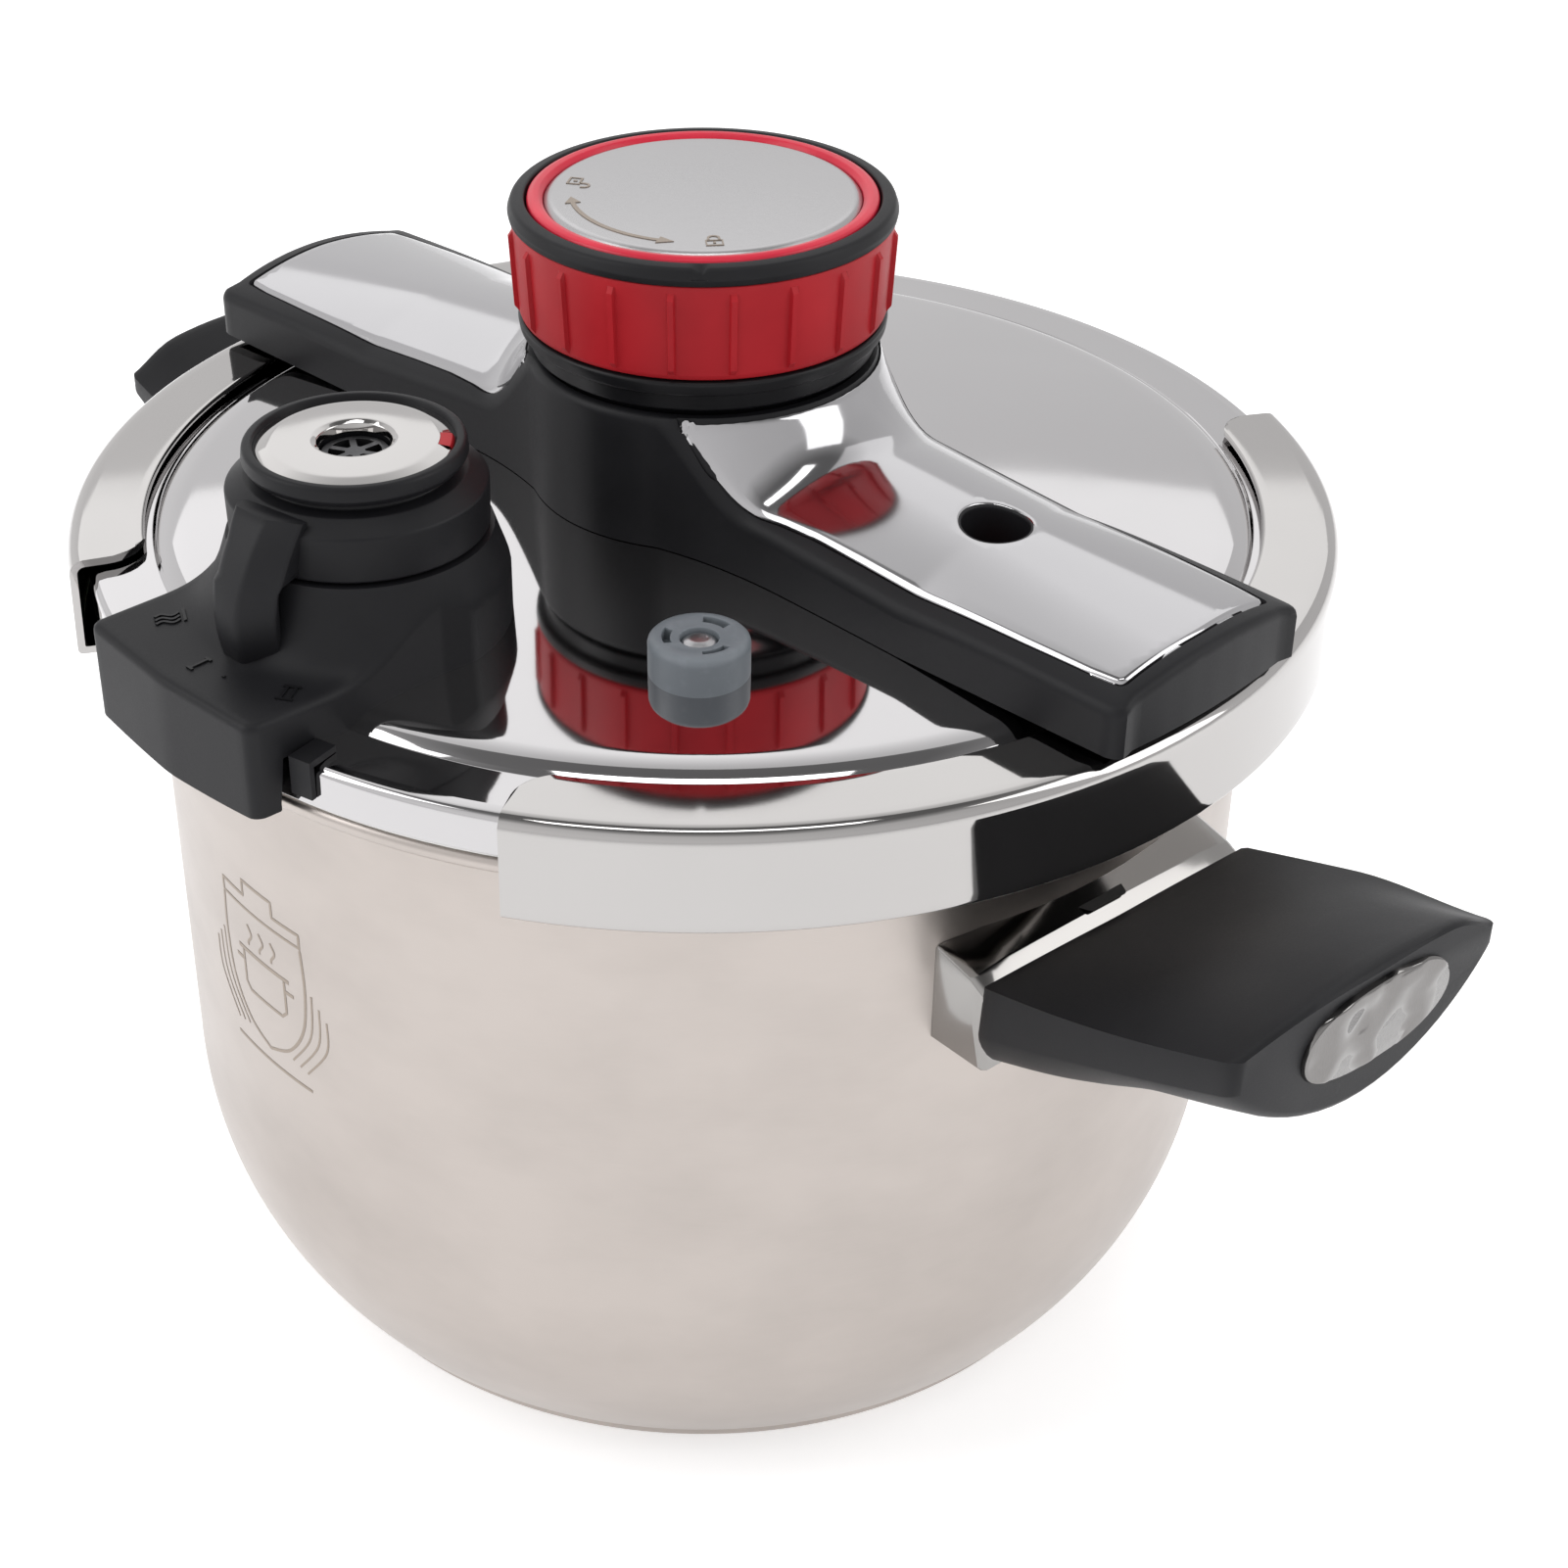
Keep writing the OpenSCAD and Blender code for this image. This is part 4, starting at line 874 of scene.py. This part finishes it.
rim_profile = rounded([
    (trim_r - 0.6, grip_high, 0), (knob_r - 0.3, grip_high, 0.5), (knob_r, grip_high + 1.4, 0.9),
    (knob_r - 0.7, trim_top - 0.75, 1.2), (trim_r + 0.5, trim_top - 0.35, 0.5),
    (trim_r + 0.1, grip_high + 1, 0),
], True, 6)
rim_points, rim_faces = spun(rim_profile, steps=240)
notch_turn = radians(-45.5)
notched = []
for x, y, z in rim_points:
    off = (atan2(y, x) - notch_turn) * knob_r
    r = hypot(x, y)
    dent = smooth(1 - abs(off) / 1.3) * smooth((r - knob_r + 3.2) / 2.0)
    notched.append((x, y, z - 0.9 * dent * (1 if z > grip_high + 1.5 else 0)))
piece("rim_ring", notched, rim_faces, "knob", "plastic_black_smooth", BLACK, ["knob_rim"])

trim_profile = rounded([
    (plate_r - 0.4, grip_high + 0.4, 0), (trim_r, grip_high + 0.4, 0), (trim_r, trim_top - 0.5, 1.0),
    (trim_r - 1.3, trim_top, 0.9), (plate_r + 0.9, trim_top - 0.2, 0.7),
    (plate_r + 0.15, trim_top - 1.0, 0.4),
], True, 6)
piece(
    "trim_band", *spun(trim_profile, steps=240), "knob", "plastic_red_bright", RED_BRIGHT,
    ["knob_trim_ring"],
)

plate_z = trim_top - 0.35
plate_profile = rounded([
    (0, plate_z, 0), (plate_r - 1.2, plate_z, 1.6), (plate_r - 0.05, plate_z - 1.0, 0.4),
    (plate_r - 0.05, grip_high + 0.1, 0), (0, grip_high + 0.1, 0),
], False, 8)
piece(
    "top_plate", *spun(plate_profile, steps=240, closed=False), "knob", "plate_brushed", PLATE,
    ["knob_plate"],
)


def on_plate(u, v, lift):
    return (u, v, plate_z + 0.02 + lift * 0.12)


def padlock(angle, radius, opened):
    """A small padlock sign: body and shackle, facing outwards."""
    a = radians(angle)
    out, side = Vector((cos(a), sin(a))), Vector((-sin(a), cos(a)))
    here = out * radius
    def at(u, v):
        p = here + side * u + out * -v
        return (p.x, p.y)
    body = [at(-1.5, -1.2), at(1.5, -1.2), at(1.5, 1.1), at(-1.5, 1.1)]
    lean = 1.1 if opened else 0.0
    shackle = [at(-1.0 + lean * 1.7, 1.1)] + [
        at(lean * 1.7 + 1.0 * cos(radians(t)), 2.2 + 1.0 * sin(radians(t)))
        for t in range(180, -1, -30)
    ] + [at(1.0 + lean * 1.7, 1.1 if not opened else 1.7)]
    return joined(
        ribbon(body, 0.45, 1, on_plate, True), ribbon(shackle, 0.45, 1, on_plate),
        ribbon([at(0, -0.3), at(0, 0.4)], 0.5, 1, on_plate),
    )


def arrow_head(angle, radius, way):
    a = radians(angle)
    tip = radians(angle + way * 7)
    return blob([
        (radius * cos(tip), radius * sin(tip)),
        ((radius + 1.5) * cos(a), (radius + 1.5) * sin(a)),
        ((radius - 1.5) * cos(a), (radius - 1.5) * sin(a)),
    ][::way], 1, on_plate)


mark_r = plate_r - 5.2
plate_marks = joined(
    ribbon(arc(0, 0, mark_r, -122, -64, 40), 0.9, 1, on_plate),
    arrow_head(-64, mark_r, 1), arrow_head(-122, mark_r, -1),
    padlock(-40, mark_r, False), padlock(-148, mark_r, True),
)
piece("plate_marks", *plate_marks, "knob", "plate_brushed", ETCHED)

# ------ pressure valve

valve = middle("valve_cap_plate")
valve_turn = degrees(atan2(valve.y, valve.x))
valve_at = (valve.x, valve.y)
valve_out = hypot(valve.x, valve.y)
guard_top = rim_z + 18.0
guard_low = low("valve_housing").z
collar_top = high("valve_housing").z
guard_face = lid_r + 4.5 - valve_out
dial_low = collar_top + 0.5
dial_top = high("valve_dial").z
dial_r = (high("valve_dial").x - low("valve_dial").x) / 2
guard_half = 25
guard_sweep = 39


def guard_back(x, y):
    """Top of the valve block: a flat guard that sweeps up to the collar."""
    d = hypot(x, y)
    rise = max(0.0, min(1.0, (guard_sweep - d) / (guard_sweep - dial_r - 0.6)))
    return guard_top + (collar_top - guard_top) * rise ** 3.8


def flange_foot(x, y):
    """Lower edge of the guard that hangs over the rim."""
    return guard_low + 1.2 * (y / guard_half) ** 2


def block_foot(x, y):
    """Lower edge of the valve block on the lid's skin."""
    r = hypot(x + valve_out, y)
    return lid_height(r) - 0.1 if r < lid_r + 1.35 else flange_foot(x, y)


block_r = dial_r + 3.2
guard_front = [(guard_face, -guard_half, 2.5), (guard_face + 1.6, 0, 40), (guard_face, guard_half, 2.5)]
block_plan = rounded(
    guard_front + [(2, guard_half + 0.5, 10)]
    + [(x, y, 0) for x, y in arc(0, 0, block_r, 100, 260, 32)]
    + [(2, -guard_half - 0.5, 10)],
    True, 6,
)
block_plan = even(block_plan, 1.4)
block = capped(
    block_plan, guard_back, 1.3, block_foot, 1.2, [circle(0, 0, dial_r - 2.6, 96)], 0.0,
    grooves=[(circle(0, 0, dial_r + 0.55, 96), 0.0)],
)

flange_in = lid_r + 1.4 - valve_out
flange_plan = even(rounded(guard_front + [
    (flange_in - 2.5, guard_half, 0.5), (flange_in, 0, 200), (flange_in - 2.5, -guard_half, 0.5),
], True, 6), 1.6)
flange_plan = inward(flange_plan, 0.03)
flange = capped(flange_plan, lambda x, y: ledge_z + 1, 0.0, flange_foot, 2.0, lower=1.2)
piece(
    "valve_block", *turned(joined(block, flange), valve_turn, valve_at),
    "lid", "plastic_black", BLACK, ["valve_housing"], 40,
)


def guard_sign(direction, radius, strokes):
    """Raised strokes on the guard at a direction from the dial's axis."""
    a = radians(direction - valve_turn)
    out, side = Vector((cos(a), sin(a))), Vector((-sin(a), cos(a)))
    def to_space(u, v, lift):
        p = out * (radius - v) + side * u
        return (p.x, p.y, guard_back(p.x, p.y) + lift * 0.35 - 0.05)
    return joined(*[ribbon(s, 0.55, 1, to_space) for s in strokes])


wave = [[(x + 0.5 * sin(v * 1.6), v) for v in [-2.2 + 0.44 * k for k in range(11)]] for x in (-1.3, 0, 1.3)]
signs = joined(
    guard_sign(-118.7, 36, wave + [[(-2.2, 3.0), (2.2, 3.0)]]),
    guard_sign(-90.6, 37, [[(0, -2), (0, 2)], [(-0.8, -2), (0.8, -2)], [(-0.8, 2), (0.8, 2)]]),
    guard_sign(-80.5, 37, [[(-0.3, 0), (0.3, 0)]]),
    guard_sign(-60, 37, [
        [(-0.8, -2), (-0.8, 2)], [(0.8, -2), (0.8, 2)], [(-1.6, -2), (1.6, -2)], [(-1.6, 2), (1.6, 2)],
    ]),
)
piece("guard_signs", *turned(signs, valve_turn, valve_at), "lid", "plastic_black", BLACK_SMOOTH)

dial_profile = rounded([
    (8, dial_low - 9, 0), (dial_r - 3.0, dial_low - 9, 0), (dial_r - 3.0, dial_low, 0.3),
    (dial_r - 0.2, dial_low, 0.6), (dial_r, dial_low + 8.6, 0.8), (dial_r - 3.6, dial_low + 11.0, 1.0),
    (dial_r - 6.0, dial_low + 11.4, 0.5),
    (dial_r - 6.1, dial_top, 0.3), (6.6, dial_top, 0.3), (6.6, dial_low + 6, 0),
], True, 5)
fin_levels = []
fin_count = 21
fin_top = dial_low + 10.9
for k in range(fin_count):
    t = k / (fin_count - 1)
    z = fin_top - (fin_top - guard_top - 0.5) * t
    nose = dial_r - 1.6 + 11.6 * sin(pi * (0.05 + 0.58 * t)) ** 0.85
    half_width = 7.5 - 1.8 * t * t
    inner = dial_r - 3.0 if z > dial_low + 0.2 else block_r + 0.9 - 0.5 * smooth((z - guard_top) / 9)
    inner = min(inner, nose - 1.0)
    ring = rounded([
        (inner, -half_width + 0.6, 0), (nose - 1.0, -half_width, 3.4), (nose, half_width * 0.15, 2.4),
        (nose - 2.6 - 2.4 * t, half_width, 0.7), (inner, half_width - 1.4 * sin(pi * t), 0),
    ], True, 5)
    fin_levels.append([(x, y, z) for x, y in ring])
fin = turned(lofted(fin_levels, ends=True), 11)
dial = joined(spun(dial_profile, steps=160), fin)
piece(
    "dial_body", *turned(dial, valve_turn, valve_at), "dial", "plastic_black", BLACK, ["valve_dial"], 50,
)

cap_ring_r = (high("valve_cap_ring").x - low("valve_cap_ring").x) / 2
cap_low, cap_high = low("valve_cap_ring").z, high("valve_cap_ring").z
ring_profile = rounded([
    (7.2, cap_low, 0), (cap_ring_r - 0.7, cap_low, 0.6), (cap_ring_r, cap_low + 1.2, 0.8),
    (cap_ring_r - 0.3, cap_high - 0.1, 0.9), (cap_ring_r - 2.0, cap_high, 0.4),
    (cap_ring_r - 2.3, cap_high - 1.2, 0.2), (7.2, cap_high - 1.2, 0),
], True, 5)
piece(
    "dial_ring", *spun(ring_profile, valve_at, 160), "dial", "plastic_black_smooth", BLACK,
    ["valve_cap_ring"],
)

disc_edge = cap_ring_r - 2.45
plate_high = high("valve_cap_plate").z
disc_profile = rounded([
    (6.4, plate_high - 1.9, 0), (6.75, plate_high - 0.6, 0.4), (7.6, plate_high, 0.9),
    (disc_edge - 2.6, plate_high - 0.15, 3),
    (disc_edge, plate_high - 1.1, 0.6), (disc_edge, plate_high - 1.8, 0),
], False, 8)
disc_points, disc_faces = spun(disc_profile, (0, 0), 180, False)
mark_from, mark_to = 36, 54
kept = [
    face for face in disc_faces
    if not (
        mark_from < degrees(atan2(*[sum(disc_points[i][c] for i in face) for c in (1, 0)])) < mark_to
        and min(hypot(*disc_points[i][:2]) for i in face) > disc_edge - 2.7
    )
]
piece(
    "dial_disc", *turned((disc_points, kept), 0, valve_at), "dial", "steel_polished", POLISHED,
    ["valve_cap_plate"],
)
mark_profile = [
    (disc_edge - 2.8, plate_high - 0.32), (disc_edge - 2.4, plate_high - 0.22),
    (disc_edge - 0.5, plate_high - 0.5), (disc_edge, plate_high - 1.2), (disc_edge, plate_high - 1.8),
]
mark_rings = []
for i in range(9):
    turn = radians(mark_from + 0.2 + (mark_to - mark_from - 0.4) * i / 8)
    mark_rings.append([
        (valve.x + r * cos(turn), valve.y + r * sin(turn), z) for r, z in mark_profile
    ])
piece("dial_mark", *lofted(mark_rings, closed=False), "dial", "plastic_red_bright", RED, ["valve_mark"])

# ------ safety valve

safety = middle("safety_valve_cap")
safety_at = (safety.x, safety.y)
safety_top = high("safety_valve_cap").z
safety_r = (high("safety_valve_cap").x - low("safety_valve_cap").x) / 2
safety_turn = degrees(atan2(safety.y, safety.x))


def cap_back(x, y):
    """Top of the silicone cap, dished a little towards its pin."""
    d = hypot(x, y)
    return safety_top - 0.5 * smooth((6.5 - d) / 2.5) - 0.35 * smooth((d - 7) / 2)


def slot_loop(direction):
    """An arc slot in the cap, counter-clockwise."""
    outside = arc(0, 0, 6.7, direction - 24, direction + 24, 10)
    within = arc(0, 0, 5.2, direction + 24, direction - 24, 10)
    return outside + within


cap_shape = capped(
    circle(0, 0, safety_r, 96), cap_back, 1.1,
    lambda x, y: lid_height(hypot(x + hypot(*safety_at), y)) - 0.05,
    0.7, [circle(0, 0, 3.55, 48)] + [slot_loop(d) for d in (30, 150, 270)], 0.25,
)
slot_floor = spun([(3.5, safety_top - 2.6), (8.6, safety_top - 2.6)], steps=64, closed=False)
piece(
    "safety_cap", *turned(joined(cap_shape, slot_floor), safety_turn, safety_at),
    "lid", "silicone_grey", GREY_SILICONE, ["safety_valve_cap"], 40,
)
relief_top = high("relief_pin").z
relief_low = low("relief_pin").z
pin_profile = rounded([
    (0, relief_top, 0), (1.6, relief_top - 0.1, 2), (3.4, relief_top - 0.9, 1.2),
    (3.4, relief_top - 4.2, 0.3), (2, relief_top - 4.2, 0), (2, relief_low + 1.2, 0),
    (4, relief_low + 1.2, 0.2), (4, relief_low, 0.2), (0, relief_low, 0),
], False, 6)
piece(
    "relief_pin_head", *spun(pin_profile, safety_at, 64, False), "relief", "steel_polished", SPRING,
    ["relief_pin"],
)

# ------ side handles

bracket_low, bracket_high = low("handle_bracket_right").z, high("handle_bracket_right").z
handle_turn = -5.1
grip_half = 35
bracket_x = wall_r + 8
grip_top = bracket_high - 4.4
tip_x = bracket_x + 56


def grip_section(t):
    """Cross-section of the grip from its bracket (0) to its tip (1), as (y, z) counter-clockwise."""
    half = grip_half - 1.0 * t + 0.6 * sin(pi * t)
    edge_z = grip_top - 0.2 + (149.0 - grip_top) * t - 1.1 * sin(pi * t)
    arch = 0.2 + 4.6 * smooth(t)
    side_z = 121.5 + (142.0 - 121.5) * t ** 1.02
    drop = 10.5 + 6.0 * smooth(t)
    power = 7 - 5 * smooth(t * 1.5)
    slant = 0.8 * (1 - t)
    across = [cos(pi * k / 28) for k in range(29)]
    top_line = [
        (y, edge_z + arch * (1 - (y / half) ** 2) + 1.1 * sin(pi * t) * smooth(y / grip_half)
         - 3.2 * smooth((t - 0.45) / 0.55) * smooth((y - 20) / 15) ** 1.5)
        for y in [c * (half - slant) for c in across]
    ]
    under = [
        (y, side_z - drop * max(0.0, 1 - abs(y / half) ** power) ** (1 / (1.15 + 0.4 * (1 - t))))
        for y in [-half * c for c in across]
    ]
    return top_line + under


def grip_shape():
    """The moulded grip: lofted sections with an eased tip."""
    stations = [0, 0.02, 0.06] + [0.12 + 0.80 * k / 16 for k in range(17)] + [0.955, 0.975, 0.99, 1.0]
    shrink = {0.975: 0.25, 0.99: 0.75, 1.0: 1.7, 0: 0.5}
    rings = []
    for t in stations:
        section = grip_section(t)
        centre_z = sum(z for _, z in section) / len(section)
        ring = []
        for y, z in section:
            keep = 1 - shrink.get(t, 0) / max(1e-6, hypot(y, z - centre_z))
            bow = 1.2 * (1 - (y / grip_half) ** 2) * smooth((t - 0.5) * 2)
            x = bracket_x + (tip_x - bracket_x) * t + bow - 1.2
            ring.append((x, y * keep, centre_z + (z - centre_z) * keep))
        rings.append(ring)
    return lofted(rings, ends=True)


def bracket_shape():
    """The polished bracket: a pressed saddle that follows the pot, sloped on top; no slot is cut into it."""
    stations = [-34, -33.4, -32.4, -29, -25, -18, -9, 0, 9, 18, 25, 29, 32.4, 33.4, 34]
    rings = []
    for y in stations:
        near_side = smooth((abs(y) - 24) / 10)
        pull = {34: 1.0, 33.4: 0.35}.get(abs(y), 0.0)
        back = sqrt((wall_r + 0.05) ** 2 - y * y)
        front = bracket_x - 0.2 - pull * 0.8
        top_back = bracket_high - 1.0 - 1.0 * near_side - pull
        ring = rounded([
            (back, bracket_low + pull, 0), (front, bracket_low + pull, 0.8),
            (front, bracket_high - 6.2 - pull, 1.2),
            (front - 3.8, bracket_high - 3.4 - 0.8 * near_side - pull, 1.5), (back, top_back, 0),
        ], True, 4)
        rings.append([(x, y, z) for x, z in ring])
    return lofted(rings, flip=True, ends=True)


inlay_half, inlay_tall, inlay_z = 19.0, 8.5, rim_z - 20.8


def inlay_shape():
    """The oval inlay: domed, with a turned-down edge."""
    levels = [(1.0, 0.0), (1.0, 0.7), (0.97, 1.2), (0.90, 1.45), (0.72, 1.5), (0.5, 1.45), (0.25, 1.4)]
    steps = 72
    rings = []
    for scale, proud in levels:
        shift = (1 - scale) * inlay_tall * 0.9
        ky = (inlay_half - shift) / inlay_half if scale > 0.8 else scale
        kz = (inlay_tall - shift) / inlay_tall if scale > 0.8 else scale
        ring = []
        for i in range(steps):
            a = 2 * pi * i / steps
            c, s = cos(a), sin(a)
            y = inlay_half * copysign(abs(c) ** 0.82, c)
            z = inlay_tall * copysign(abs(s) ** 0.94, s)
            ring.append((tip_x - 1.0 + proud, 1.0 + y * ky, inlay_z + 0.8 + z * kz + y * 0.01))
        rings.append(ring)
    points, faces = lofted(rings, flip=True)
    return points, faces + [tuple(range(len(points) - steps, len(points)))]


def on_bracket(u, v, lift):
    """Lays a flat drawing on the bracket's slope, u across and v outwards."""
    return (bracket_x - 5.2 + v, u, bracket_high - 2.6 - 0.12 * v + lift * 0.05)


# The slot is not cut through the bracket: a flat black patch in its outline, laid on the slope, is painted
# shade standing for the dark opening.
slot_hole = rounded([(-7, -2, 1), (6, -2, 1), (4.5, 2, 1), (-4.8, 2, 1)], True, 3)
handle_parts = [
    ("grip", grip_shape(), "plastic_black", BLACK, "handle_grip", 34),
    ("bracket", bracket_shape(), "steel_polished", BRACKET_POLISH, "handle_bracket", 40),
    ("inlay", inlay_shape(), "steel_polished", HAMMERED, "handle_inlay", 40),
    # Painted shade: the black rubber finish on the slot patch stands for the dark inside of the slot.
    ("bracket_slot_painted_shade", blob(slot_hole, 1, on_bracket), "steel_part", RUBBER, None, 38),
]
for side, name in ((0, "right"), (180, "left")):
    for part, shape, slot, finish, node, crease in handle_parts:
        placed = turned(shape, handle_turn + side)
        stands_for = [f"{node}_{name}"] if node else ()
        piece(f"{part}_{name}", *placed, "pot", slot, finish, stands_for, crease)

# ------ sign on the pot's wall

SIGN_TURN = -94.5
SIGN_Z = 105.0


def on_wall(u, v, lift):
    """Lays a flat drawing on the pot's wall, u to the right and v up."""
    turn = radians(SIGN_TURN) + u / wall_r
    r = wall_r + 0.02 + 0.03 * lift
    return (r * cos(turn), r * sin(turn), SIGN_Z + v)


def curve(points, steps=8):
    """A smooth path through points."""
    path = []
    for i in range(len(points) - 1):
        a, b = points[max(0, i - 1)], points[i]
        c, d = points[i + 1], points[min(len(points) - 1, i + 2)]
        for k in range(steps):
            t = k / steps
            path.append(tuple(
                0.5 * (2 * b[n] + (c[n] - a[n]) * t + (2 * a[n] - 5 * b[n] + 4 * c[n] - d[n]) * t * t
                       + (3 * b[n] - a[n] - 3 * c[n] + d[n]) * t ** 3)
                for n in (0, 1)
            ))
    path.append(points[-1])
    return path


shield_half = curve([(0, -19), (7, -15.5), (12, -8), (13.5, 2), (13.0, 12)])
shield = shield_half + [(-x, y) for x, y in shield_half[::-1]]
lines = [
    (shield, 0.7),
    (stepped([(-13, 12), (-13, 15), (-5, 15), (-5, 18.5), (5, 18.5), (5, 15), (13, 15), (13, 12)]), 0.7),
    (stepped([(-13, 12), (13, 12)]), 0.6),
    (stepped([(-7, 1), (-7, -6.5), (-5.5, -8), (5.5, -8), (7, -6.5), (7, 1)]), 0.7),
    (stepped([(-8.6, 1.6), (8.6, 1.6)]), 0.9),
    (stepped([(-9.8, -1.2), (-7, -1.2)]), 0.8),
    (stepped([(7, -1.2), (9.8, -1.2)]), 0.8),
]
for x in (-4, 0, 4):
    lines.append(([(x + 0.7 * sin(v * 1.25), v) for v in [3.4 + 0.35 * k for k in range(15)]], 0.6))
for k in range(1, 4):
    swoosh = curve([
        (13.4 + 1.9 * k, 4 - 2.2 * k), (11.8 + 2.2 * k, -8 - 0.7 * k), (5.5 + 2.2 * k, -17 - 0.5 * k),
    ])
    lines += [(swoosh, 0.5), ([(-x, y) for x, y in swoosh], 0.5)]
lines.append((stepped([(-13, -22.4), (13, -22.4)]), 0.7))
wall_sign = joined(*[ribbon(path, width, 1, on_wall) for path, width in lines])
piece("wall_sign", *wall_sign, "pot", "steel_satin", ETCHED)

# ------ floor, light and camera

floor_mesh = bpy.data.meshes.new("studio_floor")
floor_mesh.from_pydata([(-6, -6, 0), (6, -6, 0), (6, 6, 0), (-6, 6, 0)], [], [(0, 1, 2, 3)])
floor_mesh.materials.append(studio_floor("studio_floor"))
floor = bpy.data.objects.new("studio_floor", floor_mesh)
bpy.context.scene.collection.objects.link(floor)

bpy.context.scene.view_settings.view_transform = "Standard"
world = bpy.data.worlds.new("studio")
bpy.context.scene.world = world
world.use_nodes = True
room = Nodes(world.node_tree)
way = room.node("ShaderNodeTexCoord", {}, {}, "Generated")
height = room.node("ShaderNodeSeparateXYZ", {}, [way], "Z")
sideways = room.node("ShaderNodeVectorMath", {"operation": "DOT_PRODUCT"}, [way, (0.354, 0.354, 0)], "Value")
by_height = [(0.0, 0.95), (0.30, 0.98), (0.70, 0.88), (0.84, 0.46), (0.92, 0.22), (1.0, 0.20)]
by_side = [(0.0, 0.92), (0.15, 1.0), (0.40, 0.93), (0.65, 0.82), (0.90, 0.76), (1.0, 0.80)]
glow = room.node(
    "ShaderNodeValToRGB", {"stops": [(at, (v, v * 0.995, v * 0.99)) for at, v in by_height]}, [height]
)
fall = room.node(
    "ShaderNodeValToRGB", {"stops": [(at, (v, v, v * 1.01)) for at, v in by_side]}, [sideways + 0.5]
)
room.feed(world.node_tree.nodes["Background"].inputs["Color"], room.mix(1.0, glow, fall, "MULTIPLY"))


def softbox(name, azimuth, elevation, distance, width, height, power):
    """A soft light that faces the cooker."""
    lamp = bpy.data.lights.new(name, "AREA")
    lamp.shape = "RECTANGLE"
    lamp.size, lamp.size_y = width, height
    lamp.energy = power
    made = bpy.data.objects.new(name, lamp)
    bpy.context.scene.collection.objects.link(made)
    a, e = radians(azimuth), radians(elevation)
    aim = Vector((0, 0, 0.1))
    made.location = aim + Vector((sin(a) * cos(e), -cos(a) * cos(e), sin(e))) * distance
    made.rotation_euler = (made.location - aim).to_track_quat("Z", "Y").to_euler()


softbox("key_light", 225, 52, 1.6, 2.0, 1.4, 5)
softbox("left_light", -35, 38, 1.5, 0.7, 1.2, 6)
softbox("right_light", 125, 35, 1.5, 0.7, 1.2, 5)
softbox("front_light", 45, 80, 1.6, 0.9, 0.25, 3)

view = bpy.data.cameras.new("product_view")
view.lens = 64.36
view.sensor_width = 36
view.shift_x = 0.0516
view.clip_start = 0.01
camera = bpy.data.objects.new("product_view", view)
bpy.context.scene.collection.objects.link(camera)
camera.location = (0.35784, -0.35527, 0.42921)
camera.rotation_euler = (radians(56.94), 0, radians(45.2065))
bpy.context.scene.camera = camera
